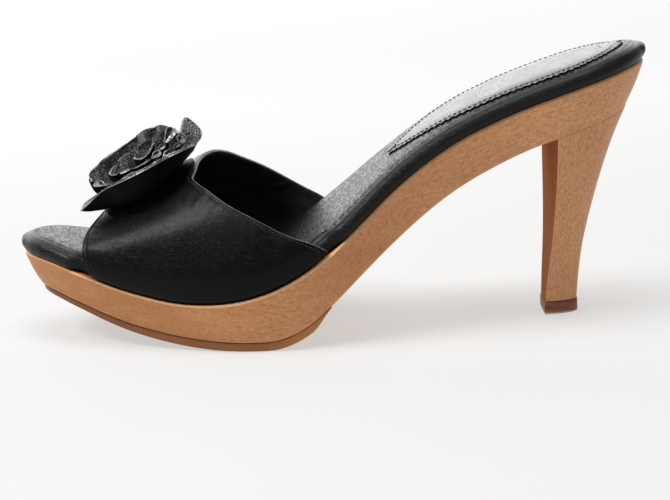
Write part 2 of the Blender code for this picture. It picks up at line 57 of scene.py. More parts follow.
# Overall sizes
SHOE_LENGTH = WOOD_BOX[1].x - WOOD_BOX[0].x
BALL_WIDTH = 0.083
HEEL_RISE = 0.0732
TOE_SPRING = 0.0138
CLEARANCE = 0.0003
SEAM_GAP = 0.0001

# Wooden sole and heel
WOOD_DEPTH = 0.016
SIDE_DRAFT = 0.0062
WOOD_EDGE = 0.0014
TOE_ROUND = 0.030
SEAT_ROUND = 0.034
SEAT_POWER = 2.4
SEAT_FULLNESS = 0.55
HEEL_SEAT_LENGTH = 0.0330
TIP_SETBACK = 0.0247
TIP_LENGTH = 0.0118
TIP_WIDTH = 0.0136
TIP_POWER = 2.4
SEAM_EDGE = 0.1
TOP_PIECE_THICKNESS = 0.0042
TOP_PIECE_LIP = 0.0003
ARRIS = 0.0004
ARRIS_FROM_ANGLE = 50

# Outsole
OUTSOLE_THICKNESS = 0.0030
OUTSOLE_INSET = 0.0010
OUTSOLE_LENGTH = 0.1090
OUTSOLE_BEVEL = 0.0055
OUTSOLE_LAST_EDGE = 0.12
TREAD_FLAT = 0.0004

# Insole and sock
INSOLE_THICKNESS = 0.0065
INSOLE_BULGE = 0.0010
INSOLE_ROLL = 0.0036
PAD_FALL = 0.0008
PAD_REACH = 0.012
PAD_END = 0.030
ROLL_GROOVE = 0.00006
INSOLE_SIDE = 0.84
TUCKED_SHARE = 0.8
ROLL_AT = 0.62
ROLL_SPREAD = 0.16
END_SLOPE = 0.85
EDGE_TUCK_SIZE = 0.0035
EDGE_TUCK_DEPTH = 0.00010
WRINKLE_SIZE = 0.0013
WRINKLE_DEPTH = 0.00003
SOCK_THICKNESS = 0.0008
SOCK_LENGTH = 0.0805
SOCK_SETBACK = 0.0055
SOCK_MARGIN = 0.0042
SOCK_PUFF = 0.0003
SOCK_STITCH_IN = 0.0022
SOCK_GROOVE = 0.00018
SOCK_GROOVE_WIDTH = 0.0005
SOCK_PUFF_REACH = 0.006
SOCK_LIFT = CLEARANCE * 1.2
SOCK_TOP_UP = SOCK_THICKNESS * 0.15
SOCK_THREAD_UP = SOCK_THICKNESS * 0.75
SOCK_STITCH_GAP = 0.0004
SOCK_POINTS = 800
PINK_PITCH = 0.0024
PINK_DEPTH = 0.0015

# Vamp
INSTEP_HEIGHT = 0.048
VAMP_WALL = 0.0018
VAMP_BULGE = 0.0016
BULGE_HEIGHT = 0.012
ARCH_POWER = 2.2
TUCK_RAMP = 0.004
TUCK_FRONT = 0.0050
TUCK_BACK = 0.0022
VAMP_GIRTH = 0.115
EDGE_STITCH_IN = 0.0013
VAMP_PULL = VAMP_WALL * 0.35
STITCH_GROOVE = 0.00022
STITCH_GROOVE_WIDTH = 0.0004
TURNED_IN = 0.0008
TURNED_IN_HEIGHT = 0.0012
PLEAT_FADE = 0.004
CALM_ENDS = 0.03
STITCH_ENDS = 0.012

# Flower
FLOWER_ALONG = 0.205
FLOWER_SIDE = -0.0010
FLOWER_RADIUS = 0.0190
PETAL_THICKNESS = 0.0011
PETAL_PITCH = 1.25
PETAL_HOLE = 0.02
PETAL_SKIVE = 0.62
SKIVE_FROM = 0.72
CRUMPLE_SIZE = 0.0045
CRUMPLE_FINE = 0.0019
GATHER_SIZE = 0.011

# Thread of the vamp's edges and of the sock
Stitch = namedtuple("Stitch", "pitch length radius")
EDGE_STITCH = Stitch(0.0015, 0.0010, 0.00016)
SOCK_STITCH = Stitch(0.0019, 0.0013, 0.00017)

# How finely the skins are cut
SOLE_STATIONS = 220
HEEL_SIDE_POINTS = 40
HEEL_LEVELS = 56
VAMP_ROWS = 96
VAMP_COLUMNS = 200
EDGE_POINTS = 7
BEAD_STRIPS = 2
PETAL_SPOKES = 216
PETAL_ROWS = 34
THREAD_SIDES = 8
THREAD_RINGS = 9

# The photo's camera, fitted to the shoe: angles in degrees
CAMERA_PLACE = (-0.00377, -0.69009, 0.1749)
CAMERA_LENS = 106.6
CAMERA_PITCH = 12.229
CAMERA_YAW = 0.325
CAMERA_ROLL = 2.6


def table(kind, *rows):
    """Rows of values under the named columns of their kind."""
    return [kind(*row) for row in rows]


# Sections of the sole. along is a share of SHOE_LENGTH, spring of TOE_SPRING, rise of HEEL_RISE,
# wood of WOOD_DEPTH, middle and half of BALL_WIDTH, and draft of SIDE_DRAFT.
Section = namedtuple("Section", "along spring rise wood middle half draft")
SECTIONS = table(
    Section,
    (0.000, 1.000, 0.000, 0.760, 0.078, 0.283, 0.80),
    (0.045, 0.884, 0.000, 0.725, 0.080, 0.295, 0.56),
    (0.090, 0.680, 0.000, 0.715, 0.084, 0.333, 0.42),
    (0.180, 0.232, 0.000, 0.730, 0.060, 0.404, 0.26),
    (0.270, 0.000, 0.000, 0.760, 0.027, 0.466, 0.19),
    (0.362, 0.000, 0.026, 0.956, -0.004, 0.499, 0.16),
    (0.407, 0.000, 0.068, 1.120, -0.012, 0.494, 0.16),
    (0.4525, 0.000, 0.137, 1.190, -0.020, 0.477, 0.19),
    (0.498, 0.000, 0.231, 1.130, -0.036, 0.434, 0.24),
    (0.543, 0.000, 0.347, 1.110, -0.055, 0.376, 0.29),
    (0.588, 0.000, 0.467, 1.120, -0.062, 0.330, 0.34),
    (0.679, 0.000, 0.657, 1.040, -0.020, 0.314, 0.35),
    (0.769, 0.000, 0.784, 0.955, 0.002, 0.319, 0.32),
    (0.860, 0.000, 0.880, 0.906, 0.000, 0.323, 0.32),
    (0.950, 0.000, 0.959, 0.906, 0.000, 0.323, 0.58),
    (1.000, 0.000, 1.000, 0.925, 0.000, 0.323, 1.00),
)

# Levels of the wood's side. depth is a share of the wood's depth from the seat down, draft of the
# draft there, and ease of WOOD_EDGE.
Level = namedtuple("Level", "depth draft ease")
WOOD_LEVELS = table(
    Level,
    (0.00, 0.00, 0.45),
    (0.05, 0.00, 0.00),
    (0.30, 0.20, 0.00),
    (0.62, 0.55, 0.00),
    (0.88, 0.90, 0.12),
    (0.97, 1.00, 0.45),
    (1.00, 1.00, 1.00),
)
WOOD_CUTS = [0, 0.025, 0.05, 0.056, 0.1, 0.2, 0.3, 0.45, 0.62, 0.75, 0.85, 0.91, 0.95, 0.98, 1]

# Levels of the outsole from its top down. depth is a share of its thickness, ease of WOOD_EDGE.
OUTSOLE_LEVELS = table(
    Level,
    (0.0, 0, 0.0),
    (0.6, 0, 0.05),
    (0.9, 0, 0.4),
    (1.0, 0, 1.0),
)
OUTSOLE_CUTS = [0, 0.04, 0.3, 0.6, 0.75, 0.85, 0.93, 0.98, 1]

# Outsole thickness along the sole, as a share of OUTSOLE_THICKNESS.
Tread = namedtuple("Tread", "along share")
TREAD = table(
    Tread,
    (0.00, 0.50),
    (0.10, 0.75),
    (0.20, 0.95),
    (0.30, 1.00),
    (0.60, 1.00),
)

# The insole's edge from its underside up over its top. way is how far along that curve, up a share of
# INSOLE_THICKNESS, out of INSOLE_BULGE, and roll of INSOLE_ROLL.
Roll = namedtuple("Roll", "way up out roll")
INSOLE_LEVELS = table(
    Roll,
    (0.00, 0.00, -0.30, 0.00),
    (0.10, 0.10, 0.40, 0.00),
    (0.28, 0.32, 0.95, 0.00),
    (0.46, 0.55, 0.95, 0.03),
    (0.64, 0.76, 0.60, 0.14),
    (0.80, 0.91, 0.00, 0.40),
    (1.00, 1.00, 0.00, 1.00),
)

# Vamp sections. along is a share of SHOE_LENGTH, crown of INSTEP_HEIGHT, ridge of BALL_WIDTH.
Arch = namedtuple("Arch", "along crown ridge")
ARCHES = table(
    Arch,
    (0.050, 0.170, 0.070),
    (0.090, 0.300, 0.066),
    (0.135, 0.446, 0.058),
    (0.180, 0.600, 0.050),
    (0.225, 0.746, 0.043),
    (0.270, 0.875, 0.037),
    (0.315, 0.962, 0.034),
    (0.360, 1.000, 0.030),
    (0.405, 0.995, 0.026),
    (0.450, 0.940, 0.020),
    (0.520, 0.790, 0.010),
)

# Edges of the vamp. round is a share of the way over the foot, from the outer side to the inner
# side. front and back are the stations of the toe opening and of the topline, as shares of
# SHOE_LENGTH.
Edge = namedtuple("Edge", "round front back")
VAMP_EDGES = table(
    Edge,
    (0.000, 0.1170, 0.4920),
    (0.018, 0.1130, 0.4830),
    (0.059, 0.1090, 0.4590),
    (0.100, 0.1070, 0.4280),
    (0.160, 0.1057, 0.3840),
    (0.224, 0.1065, 0.3385),
    (0.286, 0.1100, 0.3085),
    (0.335, 0.1160, 0.2900),
    (0.370, 0.1215, 0.2815),
    (0.410, 0.1280, 0.2850),
    (0.490, 0.1360, 0.2910),
    (0.590, 0.1345, 0.3125),
    (0.660, 0.1280, 0.3315),
    (0.720, 0.1215, 0.3535),
    (0.810, 0.1125, 0.4015),
    (0.895, 0.1080, 0.4500),
    (0.960, 0.1100, 0.4880),
    (1.000, 0.1170, 0.5040),
)

# Creases of the vamp, as soft ridges (depth above 0) and troughs. round and along place the middle of
# each, as in the tables above, and turn is its direction in degrees, 0 along the shoe and 90 over it.
Crease = namedtuple("Crease", "round along turn length width depth")
VAMP_CREASES = table(
    Crease,
    (0.282, 0.286, 62, 0.009, 0.0009, -0.00008),
    (0.266, 0.295, 58, 0.010, 0.0010, 0.00008),
    (0.252, 0.303, 54, 0.009, 0.0009, -0.00009),
    (0.238, 0.312, 50, 0.008, 0.0010, 0.00007),
    (0.224, 0.322, 46, 0.007, 0.0009, -0.00006),
    (0.200, 0.200, 8, 0.050, 0.0090, 0.00050),
    (0.090, 0.400, 20, 0.040, 0.0060, -0.00030),
    (0.700, 0.280, 110, 0.018, 0.0020, -0.00030),
    (0.760, 0.300, 120, 0.020, 0.0025, 0.00030),
)

# Pleats of the lining, where it is drawn round the sides. round places each, width is a share of the
# way over the foot.
Pleat = namedtuple("Pleat", "round width depth lean")
LINING_PLEATS = table(
    Pleat,
    (0.700, 0.012, 0.00025, 0.10),
    (0.735, 0.010, 0.00040, 0.06),
    (0.775, 0.013, 0.00045, 0.03),
    (0.815, 0.010, 0.00050, 0.00),
    (0.850, 0.012, 0.00045, -0.03),
    (0.890, 0.010, 0.00040, -0.05),
    (0.140, 0.014, 0.00035, 0.00),
    (0.200, 0.012, 0.00030, 0.03),
)

# How the heel widens from its tip (0) to the seat (1). back and half are shares of that flare, and
# front is the share of the way from the tip's breast to the breast at the seat.
Flare = namedtuple("Flare", "up front back half")
HEEL_FLARE = table(
    Flare,
    (0.00, 0.00, 0.000, 0.000),
    (0.16, 0.22, 0.060, 0.150),
    (0.30, 0.46, 0.138, 0.300),
    (0.47, 0.68, 0.280, 0.500),
    (0.64, 0.84, 0.460, 0.715),
    (0.77, 0.92, 0.625, 0.850),
    (0.88, 0.97, 0.790, 0.935),
    (1.00, 1.00, 1.000, 1.000),
)

# Outline of the sock, from its front point (0) to its back (1). half is a share of half the insole's
# width there, less SOCK_MARGIN.
SockRow = namedtuple("SockRow", "along half")
SOCK_ROWS = table(
    SockRow,
    (0.00, 0.09),
    (0.06, 0.35),
    (0.14, 0.60),
    (0.27, 0.83),
    (0.45, 0.94),
    (0.66, 1.00),
    (0.82, 0.96),
    (0.92, 0.80),
    (0.97, 0.55),
    (1.00, 0.14),
)

# Rims of the flower's petals. turn is the angle seen from above, in degrees, 0 towards the heel, 90
# towards the inner side and 180 towards the toe. reach and rise are shares of FLOWER_RADIUS, the rise
# measured from the slope of the vamp's ridge.
Rim = namedtuple("Rim", "turn reach rise")
BASE_RIM = table(
    Rim,
    (0, 0.92, 0),
    (90, 0.90, 0),
    (180, 0.82, 0),
    (235, 0.80, 0),
    (270, 0.88, 0),
    (310, 0.96, 0),
)
OUTER_RIM = table(
    Rim,
    (3, 1.09, 0.47),
    (16, 1.08, 0.60),
    (27, 0.92, 0.92),
    (44, 0.90, 0.66),
    (70, 1.02, 0.42),
    (92, 1.08, 0.46),
    (115, 1.10, 0.58),
    (138, 1.03, 0.45),
    (158, 1.10, 0.30),
    (175, 1.21, 0.29),
    (192, 1.28, 0.25),
    (206, 1.23, 0.36),
    (223, 1.08, 0.53),
    (245, 1.10, 0.60),
    (270, 1.12, 0.61),
    (294, 1.05, 0.57),
    (319, 1.06, 0.49),
    (345, 1.02, 0.39),
)
MIDDLE_RIM = table(
    Rim,
    (8, 0.70, 0.66),
    (35, 0.66, 0.82),
    (60, 0.69, 1.00),
    (92, 0.68, 1.09),
    (122, 0.86, 1.02),
    (146, 1.02, 0.95),
    (167, 1.08, 0.88),
    (185, 1.03, 0.75),
    (202, 0.90, 0.59),
    (222, 0.82, 0.53),
    (252, 0.80, 0.54),
    (282, 0.78, 0.50),
    (312, 0.74, 0.52),
    (340, 0.72, 0.54),
)
INNER_RIM = table(
    Rim,
    (5, 0.54, 0.92),
    (50, 0.40, 0.84),
    (100, 0.46, 0.86),
    (145, 0.57, 0.80),
    (185, 0.66, 0.64),
    (230, 0.50, 0.58),
    (275, 0.48, 0.56),
    (320, 0.46, 0.64),
)
HEART_RIM = table(
    Rim,
    (0, 0.20, 0.78),
    (90, 0.17, 0.66),
    (180, 0.20, 0.70),
    (270, 0.17, 0.62),
)

# Profile of a petal from its middle to its rim. out is a share of the rim's reach, and lift how far
# the petal has risen off the vamp towards its rim.
Spoke = namedtuple("Spoke", "out lift")
PETAL_SPOKE = table(
    Spoke,
    (0.30, 0.00),
    (0.58, 0.03),
    (0.78, 0.17),
    (0.89, 0.44),
    (0.95, 0.72),
    (1.00, 1.00),
)


def through(rows, column, period=None):
    """A smooth curve through one column of a table, as a function of the table's first column."""
    at = np.array([row[0] for row in rows], float)
    value = np.array([getattr(row, column) for row in rows], float)
    if period:
        at = np.concatenate([at[-2:] - period, at, at[:2] + period])
        value = np.concatenate([value[-2:], value, value[:2]])
    step = np.diff(at)
    slope = np.diff(value) / step
    tangent = np.empty(len(at))
    tangent[0], tangent[-1] = slope[0], slope[-1]
    tangent[1:-1] = (slope[:-1] * step[1:] + slope[1:] * step[:-1]) / (step[:-1] + step[1:])

    def curve(where):
        where = np.asarray(where, float) % period if period else np.asarray(where, float)
        where = np.clip(where, at[0], at[-1])
        k = np.clip(np.searchsorted(at, where) - 1, 0, len(step) - 1)
        u = (where - at[k]) / step[k]
        rest = 1 - u
        return (
            value[k] * (1 + 2 * u) * rest**2
            + value[k + 1] * (3 - 2 * u) * u**2
            + step[k] * u * rest * (tangent[k] * rest - tangent[k + 1] * u)
        )

    return curve


SPRING, RISE, WOOD, MIDDLE, HALF, DRAFT = (through(SECTIONS, column) for column in Section._fields[1:])
CROWN, RIDGE = (through(ARCHES, column) for column in Arch._fields[1:])
TREAD_SHARE = through(TREAD, "share")


def smooth(share):
    """A step from 0 to 1 that starts and ends gently."""
    share = np.clip(share, 0, 1)
    return share**2 * (3 - 2 * share)


def hump(distance, width):
    """A soft hump, 1 at its middle and nearly gone at twice its width."""
    return np.exp(-((distance / width) ** 2))


def seat_above_ball(station):
    """Height of the wood's top above its lowest spot at the ball."""
    share = np.asarray(station) / SHOE_LENGTH
    return SPRING(share) * TOE_SPRING + RISE(share) * HEEL_RISE


def lowest_seat():
    """Height of that lowest spot, set so that the tread comes down to the floor and is flat there."""
    station = np.linspace(0, OUTSOLE_LENGTH, 400)
    below = WOOD(station / SHOE_LENGTH) * WOOD_DEPTH - seat_above_ball(station)
    return OUTSOLE_THICKNESS + CLEARANCE - TREAD_FLAT + below.max()


BALL_SEAT = lowest_seat()


def seat(station):
    """Height of the wood's top, where the insole lies."""
    return BALL_SEAT + seat_above_ball(station)


def underside(station):
    """Height of the wood's underside."""
    return seat(station) - WOOD(np.asarray(station) / SHOE_LENGTH) * WOOD_DEPTH


def seat_normal(station):
    """Direction straight out of the seat at each station."""
    reach = 0.0005
    slope = (seat(station + reach) - seat(station - reach)) / (2 * reach)
    length = np.sqrt(1 + slope**2)
    return np.stack([-slope / length, np.zeros(len(slope)), 1 / length], 1)


def half_width(station):
    """Half the width of the wood's top, with its round toe and round seat."""
    toe = np.clip(1 - station / TOE_ROUND, 0, 1)
    back = np.clip((station - SHOE_LENGTH + SEAT_ROUND) / SEAT_ROUND, 0, 1)
    ends = np.sqrt(1 - toe**2) * np.maximum(1 - back**SEAT_POWER, 0) ** SEAT_FULLNESS
    return HALF(station / SHOE_LENGTH) * BALL_WIDTH * ends


def middle(station):
    """Where the middle of the sole lies, to the side of the straight line through the heel."""
    return MIDDLE(station / SHOE_LENGTH) * BALL_WIDTH


def sole_loop(stations):
    """The sole's outline, back along the outer side and forward again along the inner side, as
    stations, sides and the outward direction of each point. Its end is one point where it is whole."""
    first = 1 if half_width(stations[0]) < 1e-6 else 0
    last = len(stations) - (1 if half_width(stations[-1]) < 1e-6 else 0)
    x = np.concatenate([stations, stations[first:last][::-1]])
    hand = np.concatenate([-np.ones(len(stations)), np.ones(last - first)])
    ahead, behind = np.minimum(x + 1e-5, SHOE_LENGTH), np.maximum(x - 1e-5, 0)
    rise = middle(ahead) + hand * half_width(ahead) - middle(behind) - hand * half_width(behind)
    slope = rise / (ahead - behind)
    length = np.sqrt(1 + slope**2)
    return x, middle(x) + hand * half_width(x), -hand * slope / length, hand / length


def spaced(count):
    """Stations over the whole sole that lie closer together at its round ends."""
    return SHOE_LENGTH * (1 - np.cos(np.linspace(0, math.pi, count + 1))) / 2


def rough(points, size, seed):
    """Smooth noise from -1 to 1 at each point, its bumps about that size across."""
    flat = points.reshape(-1, 3) / size + seed
    return np.array([noise.noise(Vector(p)) for p in flat]).reshape(points.shape[:-1])


class Value:
    """A socket of a shader that carries a number. Arithmetic on it adds Math nodes."""

    def __init__(self, finish, socket):
        self.finish = finish
        self.socket = socket

    def math(self, operation, other):
        return self.finish.node("Math", {"operation": operation}, {0: self, 1: other})

    def __add__(self, other):
        return self.math("ADD", other)

    def __sub__(self, other):
        return self.math("SUBTRACT", other)

    def __rsub__(self, other):
        return (self * -1) + other

    def __mul__(self, other):
        return self.math("MULTIPLY", other)

    __radd__ = __add__
    __rmul__ = __mul__

    def rising(self, low, high):
        """0 below low, 1 above high, and a smooth step between."""
        settings = {"interpolation_type": "SMOOTHSTEP"}
        return self.finish.node("MapRange", settings, {"Value": self, "From Min": low, "From Max": high})


class Finish:
    """A material that is being mixed, with its Principled shader."""

    def __init__(self, name, **constants):
        self.material = bpy.data.materials.new(name)
        self.material.use_nodes = True
        self.tree = self.material.node_tree
        self.shader = self.tree.nodes["Principled BSDF"]
        self.show(**constants)

    def node(self, kind, settings, inputs, outlet=0):
        """A node with its settings made first and then its sockets set or linked."""
        made = self.tree.nodes.new("ShaderNode" + kind)
        for name, value in settings.items():
            setattr(made, name, value)
        self.feed(made, inputs)
        return Value(self, made.outputs[outlet])

    def feed(self, made, inputs):
        """Sockets of a node linked to values, or set to plain numbers and colours."""
        for name, value in inputs.items():
            if isinstance(value, Value):
                self.tree.links.new(value.socket, made.inputs[name])
            else:
                made.inputs[name].default_value = value

    def place(self):
        """Where on the shoe a point is, in metres."""
        return self.node("TexCoord", {}, {}, "Object")

    def part(self, vector, axis):
        """One of the three numbers of a vector."""
        return self.node("SeparateXYZ", {}, {"Vector": vector}, axis)

    def joined(self, x, y, z):
        return self.node("CombineXYZ", {}, {"X": x, "Y": y, "Z": z})

    def mark(self, name):
        """A number that the piece's mesh carries at each point."""
        return self.node("Attribute", {"attribute_name": name}, {}, "Fac")

    def cloud(self, place, size, detail=2.0, stretch=None):
        """Soft noise from 0 to 1 with blobs of that size, longer or shorter by stretch."""
        if stretch:
            settings = {"operation": "MULTIPLY"}
            place = self.node("VectorMath", settings, {0: place, 1: stretch})
        inputs = {"Vector": place, "Scale": 1 / size, "Detail": detail}
        return self.node("TexNoise", {}, inputs, "Fac")

    def cells(self, place, size):
        """Distance from the edge of the nearest cell of about that size."""
        inputs = {"Vector": place, "Scale": 1 / size}
        return self.node("TexVoronoi", {"feature": "DISTANCE_TO_EDGE"}, inputs, "Distance")

    def mix(self, share, first, second):
        """A colour between two colours."""
        settings = {"data_type": "RGBA"}
        return self.node("Mix", settings, {0: share, 6: first, 7: second}, 2)

    def coats(self, body, *coats):
        """A colour with others laid over it in turn, each with its share."""
        for share, colour in coats:
            body = self.mix(share, body, colour)
        return body

    def bump(self, height, depth, strength):
        """Relief of that depth from a height between 0 and 1."""
        inputs = {"Height": height, "Distance": depth, "Strength": strength}
        self.feed(self.shader, {"Normal": self.node("Bump", {}, inputs)})

    def show(self, **inputs):
        self.feed(self.shader, {name.replace("_", " "): value for name, value in inputs.items()})
        return self.material


def tone(red, green, blue):
    """A colour as a photo's 0 to 255 numbers, made linear for the shader."""
    return tuple(
        (c / 255 / 12.92 if c < 11 else ((c / 255 + 0.055) / 1.055) ** 2.4) for c in (red, green, blue)
    ) + (1,)


BEECH_PALE = tone(222, 172, 126)
BEECH = tone(216, 156, 108)
BEECH_DEEP = tone(176, 118, 78)
BEECH_FLECK = tone(132, 80, 50)
# Deeper, yellower beech for the toe end and the foot of the heel, partly a painted shade.
BEECH_TONE_AND_SHADE = tone(176, 121, 72)
BEECH_ARRIS_AND_HIGHLIGHT = tone(224, 182, 134)
BEECH_PAINTED_SHADE = tone(132, 80, 54)


def beech(name, upright, varnish=0.2, shade=0.0):
    """Beech with short dark flecks along the grain, which runs along the sole or up the heel. shade paints
    it towards a deeper brown, a painted shade for the heel's breast."""
    finish = Finish(name, Specular_IOR_Level=varnish)
    place = finish.place()
    x, y, z = (finish.part(place, axis) for axis in range(3))
    # The mask below is partly the wood's yellower tone and partly painted shade, at the foot of the heel and
    # the toe end of the sole.
    if upright:
        along, across = z + x * 0.12, x - z * 0.12
        deep_tone_and_shade = (1 - z.rising(0.0, 0.05)) * 0.4
    else:
        climb = x.rising(-0.02, 0.05) * 0.30
        along, across = x, z - x * climb
        deep_tone_and_shade = (1 - x.rising(-0.07, 0.0)) * 0.85
    grain = finish.joined(along, y, across)
    fleck = finish.cloud(grain, 0.0010, 1.0, (0.42, 1.8, 2.2)).rising(0.53, 0.66)
    fibre = finish.cloud(grain, 0.0008, 2.0, (0.22, 1.5, 1.8))
    speck = finish.cloud(grain, 0.0010, 2.0)
    streak = finish.cloud(grain, 0.006, 3.0, (0.10, 1.0, 1.6))
    patch = finish.cloud(grain, 0.035, 2.0, (0.35, 1.0, 1.0))
    body = finish.coats(
        BEECH,
        (patch.rising(0.35, 0.68) * 0.55, BEECH_DEEP),
        (deep_tone_and_shade, BEECH_TONE_AND_SHADE),
        (x.rising(0.02, 0.10) * 0.55, BEECH_PALE),
        (streak.rising(0.42, 0.75) * 0.28, BEECH_PALE),
        (fibre.rising(0.40, 0.60) * 0.30, BEECH_DEEP),
        (speck.rising(0.42, 0.60) * 0.34, BEECH_DEEP),
        (fleck * 0.30, BEECH_FLECK),
    )
    # Painted shade: the heel's breast is darkened towards a deeper brown.
    if shade:
        body = finish.mix(shade + streak * 0.2, body, BEECH_PAINTED_SHADE)
    # The pale arris is partly the wood's own paler edge and partly a painted highlight.
    body = finish.mix(finish.mark("edge") * 0.45, body, BEECH_ARRIS_AND_HIGHLIGHT)
    finish.bump(fibre * 0.6 + fleck * -0.4, 0.00006, 0.6)
    return finish.show(Base_Color=body, Roughness=0.42 + streak * 0.16)


def amber_rubber():
    """Rubber of the outsole with darker clouds and specks, browner at the toe as a painted shade and a pale
    amber at its back end as a painted highlight.
    """
    finish = Finish("amber_rubber", Specular_IOR_Level=0.25)
    place = finish.place()
    x = finish.part(place, 0)
    speck = finish.cloud(place, 0.0012)
    cloud = finish.cloud(place, 0.02)
    # Painted light: the browner toe stands for shade, and the pale amber at the skived back end for a
    # highlight. Clouds and specks are the rubber's own.
    body = finish.coats(
        tone(124, 78, 48),
        (x.rising(-0.10, -0.03), tone(146, 94, 56)),
        (x.rising(-0.035, -0.008) * 0.7, tone(196, 132, 70)),
        (cloud.rising(0.4, 0.7) * 0.3, tone(118, 70, 38)),
        (speck.rising(0.6, 0.8) * 0.25, tone(100, 58, 34)),
    )
    finish.bump(speck, 0.00008, 0.5)
    return finish.show(Base_Color=body, Roughness=0.36 + cloud * 0.2)


def lift_rubber():
    """Dark top piece under the heel, with layers and a pale line where its foot is scuffed."""
    finish = Finish("lift_rubber", Specular_IOR_Level=0.4)
    place = finish.place()
    layer = finish.cloud(place, 0.0022, 2.0, (0.2, 0.2, 1.6))
    grit = finish.cloud(place, 0.0006)
    worn = 1 - (finish.part(place, 2) + grit * 0.0005).rising(0.0005, 0.0011)
    body = finish.mix(layer.rising(0.35, 0.7), tone(112, 66, 46), tone(150, 94, 62))
    body = finish.mix(worn * 0.7, body, tone(206, 176, 142))
    finish.bump(grit * 0.6 + layer * 0.4, 0.00012, 0.7)
    return finish.show(Base_Color=body, Roughness=0.5 + grit * 0.2)


# Hides. pebble is the size of the grain and depth its relief, in metres. groove is the share of a pebble
# that the crease round it takes. gloss is a film on the pebbles alone, so that the creases stay dull, pits
# the share of it that is missing in small spots and glassy its index of refraction. The column between pits
# and glassy gives pebbles a paler top, which is a painted glint for the sheen of crumpled grain.
Hide = namedtuple("Hide", "name colour pebble depth roughness shine groove gloss pits worn glassy")
HIDES = table(
    Hide,
    ("smooth_hide", tone(5, 5, 5), 0.0006, 0.00004, 0.27, 0.125, 0.16, 0.0, 0.0, 0.0, 1.5),
    ("insole_hide", tone(12, 12, 12), 0.0010, 0.00020, 0.36, 0.06, 0.26, 0.74, 0.75, 0.0, 1.5),
    ("side_hide", tone(10, 10, 10), 0.0006, 0.00006, 0.34, 0.22, 0.16, 0.0, 0.0, 0.0, 1.5),
    ("sock_hide", tone(14, 14, 14), 0.0009, 0.00010, 0.32, 0.35, 0.12, 0.1, 0.0, 0.0, 1.5),
    # The crumpled hide is black leather: its grey base colour is a painted sheen.
    ("crumpled_hide", tone(52, 50, 49), 0.0010, 0.00035, 0.30, 0.5, 0.24, 1.0, 0.0, 0.8, 2.1),
    ("under_hide", tone(9, 9, 9), 0.0005, 0.00005, 0.50, 0.06, 0.16, 0.0, 0.0, 0.0, 1.5),
)
# Pale top painted on glinting pebbles: a painted glint.
GLINT_TOP = tone(168, 163, 158)


def leather(hide):
    """Black leather: pebbles parted by fine creases that are painted darker as a painted shade, with a soft
    uneven gloss.
    """
    film_looks = {"Coat_Roughness": hide.roughness, "Coat_IOR": hide.glassy}
    finish = Finish(hide.name, Specular_IOR_Level=hide.shine, **film_looks)
    place = finish.place()
    pebble = hide.pebble
    warp = finish.node("TexNoise", {}, {"Vector": place, "Scale": 1 / (pebble * 3)}, "Color")
    settings = {"operation": "MULTIPLY_ADD"}
    spread = (pebble * 1.2,) * 3
    bent = finish.node("VectorMath", settings, {0: warp, 1: spread, 2: place})
    crease = finish.cells(bent, pebble).rising(0.0, hide.groove)
    soft = finish.cloud(place, 0.009)
    fine = finish.cloud(place, pebble * 0.4)
    finish.bump(crease + fine * 0.3, hide.depth, 0.9)
    # The creases are painted darker here: a painted shade.
    crease_shade = tuple(c * 0.55 for c in hide.colour[:3]) + (1,)
    body = finish.mix(crease, crease_shade, hide.colour)
    dull = hide.roughness + soft * 0.14 - 0.07 - crease * 0.04
    film = crease * (soft * 0.4 + 0.8) * hide.gloss
    if hide.pits:
        spot = finish.cloud(place, pebble * 1.5, 2.0, (1.3, 0.3, 1.0)).rising(0.42, 0.56)
        film = film * (spot * hide.pits + (1 - hide.pits))
    # Paler pebble tops are a painted glint for the sheen of the crumpled grain.
    if hide.worn:
        glinting = crease * finish.cloud(place, pebble * 4).rising(0.36, 0.62) * hide.worn
        body = finish.mix(glinting, body, GLINT_TOP)
    return finish.show(Base_Color=body, Roughness=dull, Coat_Weight=film)


def suede_lining():
    """Dark grey lining with a short nap that lies in patches."""
    finish = Finish("suede_lining", Specular_IOR_Level=0.1)
    place = finish.place()
    nap = finish.cloud(place, 0.0004, 3.0)
    patch = finish.cloud(place, 0.006, 3.0, (0.6, 1.0, 1.6))
    body = finish.mix(patch.rising(0.35, 0.7), tone(18, 18, 19), tone(40, 39, 40))
    body = finish.mix(nap.rising(0.4, 0.7) * 0.4, body, tone(56, 54, 55))
    finish.bump(nap + patch * 0.6, 0.00018, 0.8)
    return finish.show(Base_Color=body, Roughness=0.78 + nap * 0.2)


def cut_edge_and_highlight():
    """The dyed, burnished edge of a cut hide, greyer than its face, its pale grey partly a painted highlight
    along the thin edge.
    """
    finish = Finish("cut_edge_and_highlight", Specular_IOR_Level=0.45)
    place = finish.place()
    fibre = finish.cloud(place, 0.0004, 3.0)
    patch = finish.cloud(place, 0.004)
    # Pale grey: partly the raw edge's own colour, partly a painted highlight.
    body = finish.mix(fibre.rising(0.3, 0.7), tone(126, 122, 118), tone(172, 167, 161))
    body = finish.mix(patch.rising(0.45, 0.75) * 0.5, body, tone(100, 97, 94))
    finish.bump(fibre, 0.00008, 0.6)
    return finish.show(Base_Color=body, Roughness=0.42 + fibre * 0.2)


def waxed_thread():
    """Black waxed thread with the twist of its plies."""
    finish = Finish("waxed_thread")
    place = finish.place()
    twist = finish.node("TexWave", {"bands_direction": "DIAGONAL"}, {"Vector": place, "Scale": 900.0}, "Fac")
    body = finish.mix(twist, tone(18, 18, 19), tone(44, 43, 44))
    finish.bump(twist, 0.00006, 0.6)
    return finish.show(Base_Color=body, Roughness=0.45 + twist * 0.15)


def skinned(levels):
    """Points and faces skinned over closed outlines of equal length."""
    count = len(levels[0])
    rung = np.arange(count)
    ahead = (rung + 1) % count
    quad = np.stack([rung, ahead, ahead + count, rung + count], 1)
    faces = np.concatenate([quad + k * count for k in range(len(levels) - 1)])
    return np.concatenate(levels), faces


